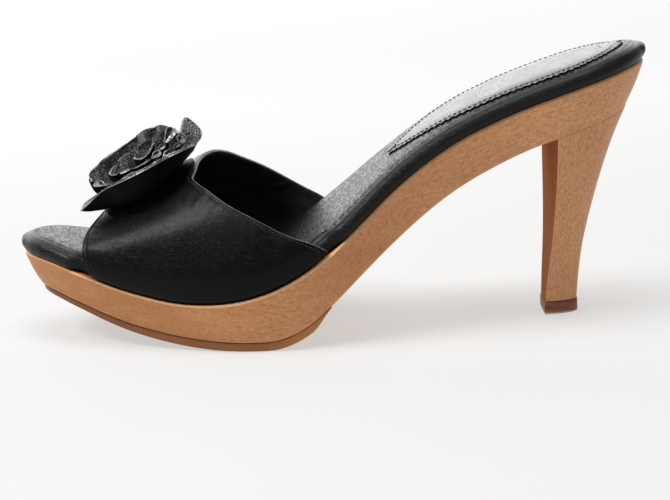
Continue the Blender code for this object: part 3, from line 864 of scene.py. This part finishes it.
def drawn_in(level, offset):
    """An outline drawn in by that much towards its middle line, which it doesn't cross."""
    other = level[-np.arange(len(level))]
    centre = (level + other) / 2
    arm = level - centre
    length = np.linalg.norm(arm, axis=1, keepdims=True)
    return centre + arm * np.maximum(1 - offset / np.maximum(length, 1e-9), 0)


CAP_OFFSETS = [0.0004, 0.0012, 0.003, 0.006, 0.011, 0.018, 0.027, 0.06]


def capped(levels):
    """The same outlines, closed at both ends by rings that draw in to the middle line."""
    low = [drawn_in(levels[0], offset) for offset in reversed(CAP_OFFSETS)]
    high = [drawn_in(levels[-1], offset) for offset in CAP_OFFSETS]
    return low + levels + high


def placed(name, data):
    """A new object in the scene."""
    made = bpy.data.objects.new(name, data)
    bpy.context.scene.collection.objects.link(made)
    return made


def piece(name, points, faces, finishes, node=None, which=None, marks=None, sharp=38, arris=0):
    """A piece of the shoe from points in its own stations. It stands for a node of the frame, if named."""
    mesh = bpy.data.meshes.new(name)
    mesh.from_pydata((points + SHIFT).tolist(), [], [tuple(face) for face in faces])
    for finish in finishes:
        mesh.materials.append(finish)
    if which is not None:
        mesh.polygons.foreach_set("material_index", np.asarray(which, np.int32))
    for mark, values in (marks or {}).items():
        mesh.attributes.new(mark, "FLOAT", "POINT").data.foreach_set("value", np.asarray(values, np.float32))
    edit = bmesh.new()
    edit.from_mesh(mesh)
    bmesh.ops.remove_doubles(edit, verts=edit.verts, dist=2e-6)
    bmesh.ops.recalc_face_normals(edit, faces=edit.faces)
    if edit.calc_volume(signed=True) < 0:
        bmesh.ops.reverse_faces(edit, faces=edit.faces)
    edit.to_mesh(mesh)
    edit.free()
    mesh.shade_smooth()
    mesh.set_sharp_from_angle(angle=math.radians(sharp))
    made = placed(name, mesh)
    if arris:
        bevel = made.modifiers.new("arris", "BEVEL")
        bevel.width = arris
        bevel.segments = 3
        bevel.limit_method = "ANGLE"
        bevel.angle_limit = math.radians(ARRIS_FROM_ANGLE)
        bevel.harden_normals = True
    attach(made, "root")
    if node:
        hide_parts(node)
    return made


def wooden_sole(finish):
    """Platform, waist and heel seat, with a pale arris round the top that is partly a painted highlight."""
    x, y, out_x, out_y = sole_loop(spaced(SOLE_STATIONS))
    draft = DRAFT(x / SHOE_LENGTH) * SIDE_DRAFT
    eased = WOOD_EDGE * np.clip((SHOE_LENGTH - HEEL_SEAT_LENGTH - x) / SIDE_DRAFT, SEAM_EDGE, 1)
    drafts, eases = through(WOOD_LEVELS, "draft"), through(WOOD_LEVELS, "ease")
    depths = [row.depth for row in WOOD_LEVELS]
    levels = []
    for depth in WOOD_CUTS:
        ease = np.interp(depth, depths, [row.ease for row in WOOD_LEVELS]) if depth < 0.5 else eases(depth)
        inset = drafts(depth) * draft + ease * (eased if depth > 0.5 else WOOD_EDGE)
        edge = x - out_x * inset
        height = seat(edge) - depth * (seat(edge) - underside(edge))
        levels.append(np.stack([edge, y - out_y * inset, height], 1))
    points, faces = skinned(capped(levels))
    plain = [0.0] * len(CAP_OFFSETS)
    on_arris = plain + [float(depth <= 0.05) for depth in WOOD_CUTS] + plain
    edge = np.repeat(on_arris, len(x))
    return piece("wood_platform", points, faces, [finish], "wooden_sole", marks={"edge": edge})


def outsole(finish):
    """Thin tread under the forepart, skived at its back end."""
    stations = spaced(SOLE_STATIONS)
    stations = np.append(stations[stations < OUTSOLE_LENGTH - CLEARANCE], OUTSOLE_LENGTH)
    x, y, out_x, out_y = sole_loop(stations)
    inset = DRAFT(x / SHOE_LENGTH) * SIDE_DRAFT + OUTSOLE_INSET
    skive = np.clip((OUTSOLE_LENGTH - x) / OUTSOLE_BEVEL, OUTSOLE_LAST_EDGE, 1)
    thick = TREAD_SHARE(x / SHOE_LENGTH) * OUTSOLE_THICKNESS * skive
    eases = through(OUTSOLE_LEVELS, "ease")
    levels = []
    for depth in OUTSOLE_CUTS:
        off = inset + eases(depth) * WOOD_EDGE
        edge = x - out_x * off
        height = underside(edge) - SEAM_GAP - depth * (thick + CLEARANCE - SEAM_GAP)
        height = np.maximum(height, (1 - depth) * TREAD_FLAT)
        levels.append(np.stack([edge, y - out_y * off, height], 1))
    points, faces = skinned(capped(levels))
    return piece("amber_tread", points, faces, [finish], "outsole")


def tuck(station, hand):
    """How far the insole's edge stands back for the vamp's wall, on the outer (-1) or inner side."""
    outer, inner = VAMP_EDGES[0], VAMP_EDGES[-1]
    front = np.where(hand < 0, outer.front, inner.front) * SHOE_LENGTH - TUCK_FRONT
    back = np.where(hand < 0, outer.back, inner.back) * SHOE_LENGTH + TUCK_BACK
    share = 1 - np.maximum(front - station, station - back) / TUCK_RAMP
    return smooth(share) * (VAMP_WALL + CLEARANCE + INSOLE_BULGE)


def raised(points, by):
    """Points moved square to the seat."""
    return points + seat_normal(points[:, 0]) * by[:, None]


def above_seat(station, side, up):
    """Points that stand up from the wood's seat at those stations, square to it."""
    return raised(np.stack([station, side, seat(station)], 1), up)


# Lines round the insole's edge where its cover is drawn in, or stands proud where depth is below 0. way
# and width are shares of the curve of INSOLE_LEVELS, depth of ROLL_GROOVE.
Pinch = namedtuple("Pinch", "way width depth")
INSOLE_PINCHES = table(
    Pinch,
    (0.74, 0.035, 1.0),
    (0.80, 0.030, -0.8),
)
INSOLE_WAYS = 40
INSOLE_CAP = [0.0007, 0.0016, 0.003, 0.005, 0.008, 0.012, 0.017, 0.023, 0.031, 0.06]


def inward(station, side):
    """How far in from the insole's edge a point of its plan is."""
    across = half_width(station) - np.abs(side - middle(station))
    return np.minimum(across, np.minimum(SHOE_LENGTH - station, station) * END_SLOPE)


def pad_top(station, reach):
    """Height of the padded insole at a station, that far in from its edge. It swells towards its middle,
    less so at its two ends."""
    ends = smooth(station / PAD_END) * smooth((SHOE_LENGTH - station) / PAD_END)
    return INSOLE_THICKNESS - PAD_FALL * ends * (1 - smooth(reach / PAD_REACH))


def bed_at(station, side):
    """Height of the padded insole above the seat at a point of its plan."""
    return pad_top(station, inward(station, side))


def insole(finish, side_finish):
    """Padded footbed with the leather drawn round its edge in small tucks."""
    x, y, out_x, out_y = sole_loop(spaced(SOLE_STATIONS))
    back = tuck(x, np.sign(out_y))
    ways = np.linspace(0, 1, INSOLE_WAYS)
    up_at, out_at, roll_at = (through(INSOLE_LEVELS, column) for column in Roll._fields[1:])
    levels = []
    for way in ways:
        pinch = sum(row.depth * hump(way - row.way, row.width) for row in INSOLE_PINCHES)
        roll = roll_at(way) * INSOLE_ROLL
        out = out_at(way) * INSOLE_BULGE - roll - back - ROLL_GROOVE * pinch
        up = CLEARANCE + up_at(way) * pad_top(x, roll)
        levels.append(above_seat(x + out_x * out, y + out_y * out, up))
    bed = pad_top(x, INSOLE_ROLL)
    top = [drawn_in(levels[-1], offset) for offset in INSOLE_CAP]
    top = [raised(ring, bed_at(ring[:, 0], ring[:, 1]) - bed) for ring in top]
    low = [drawn_in(levels[0], offset) for offset in reversed(CAP_OFFSETS)]
    rings = np.array(low + levels + top)
    first = len(low)
    edge = slice(first, first + INSOLE_WAYS)
    wrap, at_roll = np.zeros((2, len(rings), 1))
    wrap[edge, 0] = np.sin(math.pi * np.clip(ways / TUCKED_SHARE, 0, 1))
    at_roll[edge, 0] = hump(ways - ROLL_AT, ROLL_SPREAD)
    flattened = rings[first + 8] * [1, 1, 0.3]
    tucks = EDGE_TUCK_DEPTH * wrap * rough(flattened, EDGE_TUCK_SIZE, 3.0)
    wrinkles = WRINKLE_DEPTH * at_roll * rough(flattened, WRINKLE_SIZE, 8.0)
    direction = np.stack([out_x, out_y, np.zeros(len(x))], 1)
    points, faces = skinned(rings + (tucks + wrinkles)[..., None] * direction)
    ring = np.arange(len(faces)) // len(x)
    which = (ring >= first) & (ring < first + INSOLE_WAYS * INSOLE_SIDE)
    finishes = [finish, side_finish]
    made = piece("padded_insole", points, faces, finishes, "insole", which=which, sharp=60)
    return made


def sock_outline(fine):
    """Half of the sock's outline before it is pinked, at that many fine points for each half of a tooth,
    with its slope there and how far the pinking moves each point out."""
    share = np.linspace(0, 1, SOCK_POINTS)
    front = SHOE_LENGTH - SOCK_SETBACK - SOCK_LENGTH
    station = front + share * SOCK_LENGTH
    side = through(SOCK_ROWS, "half")(share) * (half_width(station) - SOCK_MARGIN)
    run = np.concatenate([[0], np.cumsum(np.hypot(np.diff(station), np.diff(side)))])
    teeth = 2 * round(run[-1] / PINK_PITCH)
    even = np.linspace(0, run[-1], teeth * fine + 1)
    station, side = np.interp(even, run, station), np.interp(even, run, side)
    slope = np.gradient(side, even)
    phase = (np.arange(teeth * fine + 1) / fine) % 2
    point = (np.abs(phase - 1) - 0.5) * -PINK_DEPTH
    return station, side, slope, point


def moved_out(station, side, slope, by):
    """An outline moved square to itself."""
    return station - slope * by, side + np.sqrt(np.maximum(1 - slope**2, 0)) * by


def around(station, side):
    """Both sides of an outline that is the same to the left and right, as one loop."""
    x = np.concatenate([station, station[-2:0:-1]])
    return x, middle(x) + np.concatenate([-side, side[-2:0:-1]])


SOCK_RINGS = [0.0002, 0.0006, 0.0012, 0.0017, 0.0021, 0.0025, 0.0032, 0.0045, 0.0065, 0.01, 0.015, 0.03]


def heel_sock(finish, edge_finish):
    """Thin pad with pinked edges, drawn down along its stitching."""
    station, side, slope, point = sock_outline(4)
    station, side = moved_out(station, side, slope, point)
    side[0] = side[-1] = 0
    x, y = around(station, side)
    bed = bed_at(x, y)
    outline = [above_seat(x, y, bed + SOCK_LIFT + share * SOCK_THICKNESS) for share in (0.0, 0.5)]
    up = seat_normal(x)
    top = []
    for offset in SOCK_RINGS:
        inside = offset - SOCK_STITCH_IN
        groove = SOCK_GROOVE * hump(inside, SOCK_GROOVE_WIDTH)
        puff = SOCK_TOP_UP + SOCK_PUFF * smooth(inside / SOCK_PUFF_REACH)
        ring = drawn_in(outline[1], offset)
        swell = bed_at(ring[:, 0], ring[:, 1]) - bed
        top.append(ring + up * (puff - groove + swell)[:, None])
    low = [drawn_in(outline[0], offset) for offset in reversed(SOCK_RINGS)]
    points, faces = skinned(low + outline + top)
    count = len(x)
    which = np.zeros(len(faces))
    which[len(low) * count : (len(low) + 1) * count] = 1
    finishes = [finish, edge_finish]
    return piece("pinked_sock", points, faces, finishes, "heel_sock", which=which)


def tip_loop(grow=0.0):
    """The heel's outline at the floor: straight at the breast and round at the back."""
    quarter = np.linspace(0, math.pi / 2, HEEL_SIDE_POINTS + 1)
    share = np.sin(quarter) ** (2 / TIP_POWER)
    wide = np.cos(quarter) ** (2 / TIP_POWER)
    share = np.concatenate([share, share[-2::-1]])
    wide = np.concatenate([-wide, wide[-2::-1]])
    x = SHOE_LENGTH - TIP_SETBACK - TIP_LENGTH - grow + share * (TIP_LENGTH + 2 * grow)
    return x, wide * (TIP_WIDTH / 2 + grow), share


# Points across half of the heel's breast, from its middle out, as shares of that half
BREAST_SHARES = np.array([0, 0.2, 0.4, 0.6, 0.8])[:, None]


def with_breast(loop):
    """The same outline, closed by points across the heel's straight breast, from its middle."""
    centre = (loop[0] + loop[-1]) / 2
    outer = centre + (loop[0] - centre) * BREAST_SHARES
    inner = centre + (loop[-1] - centre) * BREAST_SHARES[:0:-1]
    return np.concatenate([outer, loop, inner])


def heel(finish, breast_finish):
    """Wooden heel that narrows from the sole's own outline down to its tip."""
    tip_x, tip_y, share = tip_loop()
    count = HEEL_SIDE_POINTS + 1
    x, y, out_x, out_y = sole_loop(SHOE_LENGTH - HEEL_SEAT_LENGTH * (1 - share[:count]))
    inset = DRAFT(x / SHOE_LENGTH) * SIDE_DRAFT + SEAM_EDGE * WOOD_EDGE
    top_x, top_y = x - out_x * inset, y - out_y * inset
    top_z = underside(top_x) - SEAM_GAP
    tip_z = TOP_PIECE_THICKNESS + CLEARANCE
    front, back, half = (through(HEEL_FLARE, column) for column in Flare._fields[1:])
    levels = []
    for up in np.linspace(0, 1, HEEL_LEVELS):
        flare = front(up) + share * (back(up) - front(up))
        loop = [
            tip_x + flare * (top_x - tip_x),
            tip_y + half(up) * (top_y - tip_y),
            tip_z + up * (top_z - tip_z),
        ]
        levels.append(with_breast(np.stack(loop, 1)))
    points, faces = skinned(capped(levels))
    around_heel = np.arange(len(faces)) % len(levels[0])
    side_starts = len(BREAST_SHARES)
    which = (around_heel < side_starts) | (around_heel >= side_starts + 2 * HEEL_SIDE_POINTS)
    marks = {"edge": np.zeros(len(points))}
    finishes = [finish, breast_finish]
    return piece("wood_heel", points, faces, finishes, "heel", which=which, marks=marks, arris=ARRIS)


def heel_top_piece(finish):
    """The dark lift that the heel stands on."""
    x, y, _ = tip_loop(TOP_PIECE_LIP)
    heights = np.linspace(0, TOP_PIECE_THICKNESS, 7)
    levels = [with_breast(np.stack([x, y, np.full(len(x), z)], 1)) for z in heights]
    points, faces = skinned(capped(levels))
    return piece("heel_lift", points, faces, [finish], "heel_top_piece", arris=ARRIS * 0.75)


def over_foot(station, turn):
    """A point of the vamp's outer face: turn runs from the outer side (0) over the foot to the inner
    side (1)."""
    station, turn = np.broadcast_arrays(np.asarray(station, float), turn)
    across, up = -np.cos(math.pi * turn), np.sin(math.pi * turn)
    across = np.sign(across) * np.abs(across) ** (2 / ARCH_POWER)
    up = np.maximum(up, 0) ** (2 / ARCH_POWER)
    share = station / SHOE_LENGTH
    crown = CROWN(share) * INSTEP_HEIGHT
    bulge = VAMP_BULGE * np.sin(math.pi / 2 * np.minimum(up * crown / BULGE_HEIGHT, 1))
    side = middle(station)
    ridge = RIDGE(share) * BALL_WIDTH
    y = side + across * (half_width(station) + bulge) + up * (ridge - side)
    return np.stack([station, y, seat(station) + CLEARANCE + crown * up], -1)


def unit(vectors):
    """The same directions, each of length 1."""
    return vectors / np.maximum(np.linalg.norm(vectors, axis=-1, keepdims=True), 1e-12)


def normals(grid, ring=False):
    """The direction square to a grid of points, upwards at its middle."""
    across = np.gradient(grid, axis=1)
    if ring:
        across = np.roll(grid, -1, axis=1) - np.roll(grid, 1, axis=1)
    return unit(np.cross(np.gradient(grid, axis=0), across))


def round_wall(outer, inner, ring, bead=EDGE_POINTS + 1):
    """Points and faces of a wall between two grids, with half-round edges before its first and after
    its last row, and what each face is: 0 outer face, 1 the edge's middle strips, 2 inner face."""
    rows = []
    kinds = []
    turned = (EDGE_POINTS + 1 - bead) // 2
    strips = [0] * turned + [1] * bead + [2] * turned
    swing = np.linspace(0, math.pi, EDGE_POINTS + 2)[1:-1]
    for row, nxt in ((-1, -2), (0, 1)):
        centre = (outer[row] + inner[row]) / 2
        arm = (outer[row] - inner[row]) / 2
        ahead = unit(outer[row] - outer[nxt] + inner[row] - inner[nxt])
        ahead = ahead * np.linalg.norm(arm, axis=1, keepdims=True)
        arc = [centre + math.cos(a) * arm + math.sin(a) * ahead for a in swing]
        if row == -1:
            rows += list(outer) + arc
            kinds += [0] * (len(outer) - 1) + strips
        else:
            rows += list(inner[::-1]) + arc[::-1]
            kinds += [2] * (len(outer) - 1) + strips[::-1]
    grid = np.array(rows)
    count, columns = grid.shape[:2]
    index = np.arange(count * columns).reshape(count, columns)
    down = np.roll(index, -1, axis=0)
    if ring:
        right = np.roll(index, -1, axis=1)
        down_right = np.roll(down, -1, axis=1)
        faces = np.stack([index, right, down_right, down], -1)
        which = np.repeat(kinds, columns)
        return grid.reshape(-1, 3), faces.reshape(-1, 4).tolist(), which
    faces = np.stack([index[:, :-1], index[:, 1:], down[:, 1:], down[:, :-1]], -1)
    which = np.repeat(kinds, columns - 1)
    ends = [index[:, 0].tolist(), index[::-1, -1].tolist()]
    return grid.reshape(-1, 3), faces.reshape(-1, 4).tolist() + ends, np.append(which, [2, 2])


def vamp_grid():
    """The vamp's outer face with its creases, its inner face, and the direction square to its outer face at
    each point.
    """
    turn = np.linspace(0, 1, VAMP_COLUMNS + 1)
    front = through(VAMP_EDGES, "front")(turn) * SHOE_LENGTH
    back = through(VAMP_EDGES, "back")(turn) * SHOE_LENGTH
    share = np.linspace(0, 1, VAMP_ROWS + 1)[:, None]
    station = front + VAMP_PULL + share * (back - front - 2 * VAMP_PULL)
    outer = over_foot(station, turn)
    square = normals(outer)
    relief = np.zeros(station.shape)
    for crease in VAMP_CREASES:
        ahead = station - crease.along * SHOE_LENGTH
        over = (turn - crease.round) * VAMP_GIRTH
        angle = math.radians(crease.turn)
        along = ahead * math.cos(angle) + over * math.sin(angle)
        across = over * math.cos(angle) - ahead * math.sin(angle)
        relief += crease.depth * hump(across, crease.width) * hump(2 * along, crease.length)
    from_back, from_front = back - station, station - front
    groove = STITCH_GROOVE * hump(np.minimum(from_back, from_front) - EDGE_STITCH_IN, STITCH_GROOVE_WIDTH)
    calm = smooth(np.minimum(turn, 1 - turn) / CALM_ENDS)
    height = outer[..., 2] - seat(outer[..., 0])
    turned_in = TURNED_IN * hump(height, TURNED_IN_HEIGHT)
    face = outer + square * ((relief - groove) * calm - turned_in)[..., None]
    pleat = np.zeros(station.shape)
    for row in LINING_PLEATS:
        pleat += row.depth * hump(turn - row.round - row.lean * (share - 0.5), row.width)
    pleat *= smooth(from_back / PLEAT_FADE) * smooth(from_front / PLEAT_FADE) * calm
    inner = outer - (VAMP_WALL + pleat)[..., None] * square
    inner[..., 2] = np.maximum(inner[..., 2], seat(inner[..., 0]) + CLEARANCE)
    return face, inner, square


def vamp(finish, edge_finish, lining):
    """The upper: leather outside, lining inside and burnished edges, their pale grey partly a painted
    highlight.
    """
    outer, inner, _ = vamp_grid()
    points, faces, which = round_wall(outer, inner, ring=False, bead=BEAD_STRIPS)
    finishes = [finish, edge_finish, lining]
    return piece("leather_vamp", points, faces, finishes, "vamp", which=which, sharp=70)


def vamp_top(station, side):
    """Height of the vamp's outer face above a point of the plan, closed in on from the ridge."""
    share = station / SHOE_LENGTH
    crown = CROWN(share) * INSTEP_HEIGHT
    lean = RIDGE(share) * BALL_WIDTH - middle(station)
    up = np.ones(np.shape(side))
    for _ in range(12):
        bulge = VAMP_BULGE * np.sin(math.pi / 2 * np.minimum(up * crown / BULGE_HEIGHT, 1))
        off = np.abs(side - middle(station) - up * lean) / (half_width(station) + bulge)
        up = (up + (1 - np.minimum(off, 0.98) ** ARCH_POWER) ** (1 / ARCH_POWER)) / 2
    return seat(station) + CLEARANCE + crown * up


# The flower's pieces, from the vamp up. crumple and gathers are the depths of the leather's crumple and
# of its larger folds, and folds is how many of those go round the piece.
Petal = namedtuple("Petal", "name node rim crumple gathers folds")
PETALS = table(
    Petal,
    ("flower_bed", "flower_base", BASE_RIM, 0.0, 0.0, 0),
    ("outer_petal", "flower_outer_petal", OUTER_RIM, 0.0002, 0.0, 0),
    ("middle_petal", "flower_middle_petal", MIDDLE_RIM, 0.0005, 0.0012, 7),
    ("inner_petal", "flower_inner_petal", INNER_RIM, 0.0004, 0.0014, 5),
    ("rolled_heart", "flower_heart", HEART_RIM, 0.0004, 0.0, 0),
)


def petal(row, layer, finishes):
    """A dish of leather gathered on the vamp, its rim raised as its table says and its face
    crumpled. layer counts the pieces under it, and the lowest one lies flat on the vamp."""
    turn = np.arange(PETAL_SPOKES) * 360 / PETAL_SPOKES
    reach = through(row.rim, "reach", 360)(turn) * FLOWER_RADIUS
    rise = through(row.rim, "rise", 360)(turn) * FLOWER_RADIUS
    out = PETAL_HOLE + (1 - PETAL_HOLE) * np.linspace(0, 1, PETAL_ROWS)[:, None] ** 0.8
    out[-1] = 1 - 0.5 * PETAL_THICKNESS / FLOWER_RADIUS
    lift = through(PETAL_SPOKE, "lift")(out) * (layer > 0)
    heart = FLOWER_ALONG * SHOE_LENGTH
    x = heart + out * reach * np.cos(np.radians(turn))
    y = FLOWER_SIDE + out * reach * np.sin(np.radians(turn))
    bed = vamp_top(x, y) + CLEARANCE + layer * (PETAL_PITCH * PETAL_THICKNESS + CLEARANCE)
    ends = vamp_top(heart + np.array([-FLOWER_RADIUS, FLOWER_RADIUS]), 0)
    plane = ends.mean() + (x - heart) * (ends[1] - ends[0]) / (2 * FLOWER_RADIUS)
    lower = np.stack([x, y, bed + lift * (plane + rise - bed)], -1)
    square = normals(lower, ring=True)
    square *= np.sign(square[:1, :, 2:].sum())
    crushed = rough(lower, CRUMPLE_SIZE, 11.0 * layer + 5)
    crushed = crushed + 0.5 * rough(lower, CRUMPLE_FINE, 7.0 * layer + 2)
    folds = np.cos(np.radians(turn) * row.folds + 4 * rough(lower[-1] * [1, 1, 0.2], GATHER_SIZE, layer))
    shift = row.crumple * crushed * smooth(lift * 3) + row.gathers * folds * smooth((lift - 0.05) * 2)
    lower = lower + shift[..., None] * square
    skived = 1 - PETAL_SKIVE * smooth((out - SKIVE_FROM) / (1 - SKIVE_FROM))
    upper = lower + (PETAL_THICKNESS * skived * np.ones(turn.shape))[..., None] * square
    points, faces, which = round_wall(upper, lower, ring=True)
    return piece(row.name, points, faces, finishes, row.node, which=which, sharp=75)


def stitches(name, path, square, finish, stitch):
    """A row of short threads that lie along a path of points, a little proud of what they hold."""
    run = np.concatenate([[0], np.cumsum(np.linalg.norm(np.diff(path, axis=0), axis=1))])

    def on_way(vectors, where):
        return np.array([np.interp(where, run, vectors[:, axis]) for axis in range(3)])

    count = max(int(run[-1] / stitch.pitch), 1)
    start = (run[-1] - (count - 1) * stitch.pitch - stitch.length) / 2
    around_thread = np.linspace(0, 2 * math.pi, THREAD_SIDES, endpoint=False)
    along = np.linspace(-1, 1, THREAD_RINGS)
    fat = np.sqrt(np.maximum(1 - np.abs(along) ** 3, 0.02))
    reach = 0.0001
    points = []
    faces = []
    for k in range(count):
        rings = []
        for a, r in zip(along, fat):
            at = start + k * stitch.pitch + stitch.length * (a + 1) / 2
            up = unit(on_way(square, at))
            ahead = unit(on_way(path, at + reach) - on_way(path, at - reach))
            side = np.cross(up, ahead)
            centre = on_way(path, at) + up * (stitch.radius * (0.7 * r - 0.25))
            thick = stitch.radius * r
            rings.append([centre + thick * (math.cos(t) * side + math.sin(t) * up) for t in around_thread])
        base = len(points)
        sides = np.arange(THREAD_SIDES) + base
        grown, quads = skinned(rings)
        points += grown.tolist()
        faces += (quads + base).tolist()
        faces += [sides[::-1].tolist(), (sides + THREAD_SIDES * (THREAD_RINGS - 1)).tolist()]
    return piece(name, np.array(points), faces, [finish], sharp=80)


def vamp_stitching(finish):
    """Topstitching along the topline and the toe opening."""
    outer, _, square = vamp_grid()
    turn = np.linspace(0, 1, VAMP_COLUMNS + 1)
    keep = (turn > STITCH_ENDS) & (turn < 1 - STITCH_ENDS)
    rows = outer.shape[0]
    for name, edge, sign in (("topline_stitching", -1, -1), ("toe_opening_stitching", 0, 1)):
        run = np.linalg.norm(outer[edge] - outer[edge + sign], axis=1)
        step = np.clip((EDGE_STITCH_IN - VAMP_PULL) / np.maximum(run, 1e-6), 0, rows - 2)
        low = step.astype(int)
        part = (step - low)[:, None]
        pick = np.arange(len(turn))
        rows_a = (edge + sign * low) % rows
        rows_b = (edge + sign * (low + 1)) % rows
        line = outer[rows_a, pick] * (1 - part) + outer[rows_b, pick] * part
        stitches(name, line[keep], square[rows_a, pick][keep], finish, EDGE_STITCH)


def sock_stitching(finish):
    """The stitching inside the sock's pinked edge."""
    station, side, slope, _ = sock_outline(2)
    x, inside = moved_out(station, side, slope, -SOCK_STITCH_IN)
    keep = inside > SOCK_STITCH_GAP
    x, inside = x[keep], inside[keep]
    x = np.concatenate([x, x[::-1], x[:1]])
    y = middle(x) + np.concatenate([-inside, inside[::-1], -inside[:1]])
    path = above_seat(x, y, bed_at(x, y) + SOCK_LIFT + SOCK_THREAD_UP)
    stitches("sock_stitching", path, seat_normal(x), finish, SOCK_STITCH)


FLOOR_REACH = 6.0
FLOOR_DROP = 0.0001


def floor():
    """A pale table that glows a little, so that its shadows are faint, and runs on past the picture."""
    finish = Finish("pale_floor", Roughness=0.8, Specular_IOR_Level=0.0, Emission_Strength=1.0)
    far = finish.part(finish.place(), 1).rising(0.08, 0.60)
    body = finish.mix(far, (0.23, 0.235, 0.24, 1), (0.24, 0.24, 0.24, 1))
    glow = finish.mix(far, (0.558, 0.544, 0.530, 1), (0.64, 0.64, 0.64, 1))
    mesh = bpy.data.meshes.new("floor")
    edit = bmesh.new()
    bmesh.ops.create_grid(edit, x_segments=8, y_segments=8, size=FLOOR_REACH)
    edit.to_mesh(mesh)
    edit.free()
    mesh.materials.append(finish.show(Base_Color=body, Emission_Color=glow))
    made = placed("floor", mesh)
    made.location.z = -FLOOR_DROP


# Large soft lights: where each one is and where it aims, its width and height, and its power in watts.
Light = namedtuple("Light", "name place aim width height power")
LIGHTS = table(
    Light,
    ("back_panel", (-0.35, 1.6, 0.62), (0, 0, 0.1), 2.8, 1.2, 28),
    ("top_light", (-0.05, -0.05, 1.25), (0, 0, 0), 0.9, 0.6, 11),
    ("toe_side_light", (-0.78, -0.25, 0.95), (0, 0, 0.03), 0.5, 0.4, 11),
)
ROOM_LIGHT = 0.28


def studio():
    """White surroundings, a large panel behind, a soft light overhead and a smaller one past the toe."""
    bpy.context.scene.view_settings.view_transform = "Standard"
    world = bpy.data.worlds.new("white_room")
    world.use_nodes = True
    world.node_tree.nodes["Background"].inputs["Color"].default_value = (1, 1, 1, 1)
    world.node_tree.nodes["Background"].inputs["Strength"].default_value = ROOM_LIGHT
    bpy.context.scene.world = world
    for row in LIGHTS:
        light = bpy.data.lights.new(row.name, "AREA")
        light.shape = "RECTANGLE"
        light.size = row.width
        light.size_y = row.height
        light.energy = row.power
        made = placed(row.name, light)
        made.location = row.place
        made.rotation_euler = (Vector(row.aim) - Vector(row.place)).to_track_quat("-Z", "Y").to_euler()
        made.visible_camera = False


def camera():
    """The photo's view of the shoe."""
    pitch, yaw, roll = (math.radians(a) for a in (CAMERA_PITCH, CAMERA_YAW, CAMERA_ROLL))
    ahead = Vector((math.sin(yaw) * math.cos(pitch), math.cos(yaw) * math.cos(pitch), -math.sin(pitch)))
    level = Vector((math.cos(yaw), -math.sin(yaw), 0))
    down = ahead.cross(level)
    right = level * math.cos(roll) + down * math.sin(roll)
    under = down * math.cos(roll) - level * math.sin(roll)
    turned = Matrix((right, -under, -ahead)).transposed()
    lens = bpy.data.cameras.new("camera")
    lens.lens = CAMERA_LENS
    lens.sensor_width = 36
    lens.clip_start = 0.01
    made = placed("camera", lens)
    made.matrix_world = Matrix.Translation(CAMERA_PLACE) @ turned.to_4x4()
    bpy.context.scene.camera = made


def main():
    """Every finish, then every piece with its finishes."""
    hide = {row.name: leather(row) for row in HIDES}
    under = hide["under_hide"]
    edge = cut_edge_and_highlight()
    thread = waxed_thread()
    wooden_sole(beech("beech_along", upright=False))
    heel(beech("beech_upright", upright=True), beech("beech_painted_shade", upright=True, varnish=0.0, shade=0.62))
    outsole(amber_rubber())
    heel_top_piece(lift_rubber())
    insole(hide["insole_hide"], hide["side_hide"])
    heel_sock(hide["sock_hide"], under)
    sock_stitching(thread)
    vamp(hide["smooth_hide"], edge, suede_lining())
    vamp_stitching(thread)
    for layer, row in enumerate(PETALS):
        face = hide["crumpled_hide"] if layer else under
        petal(row, layer, [face, edge, under])
    floor()
    studio()
    camera()


main()
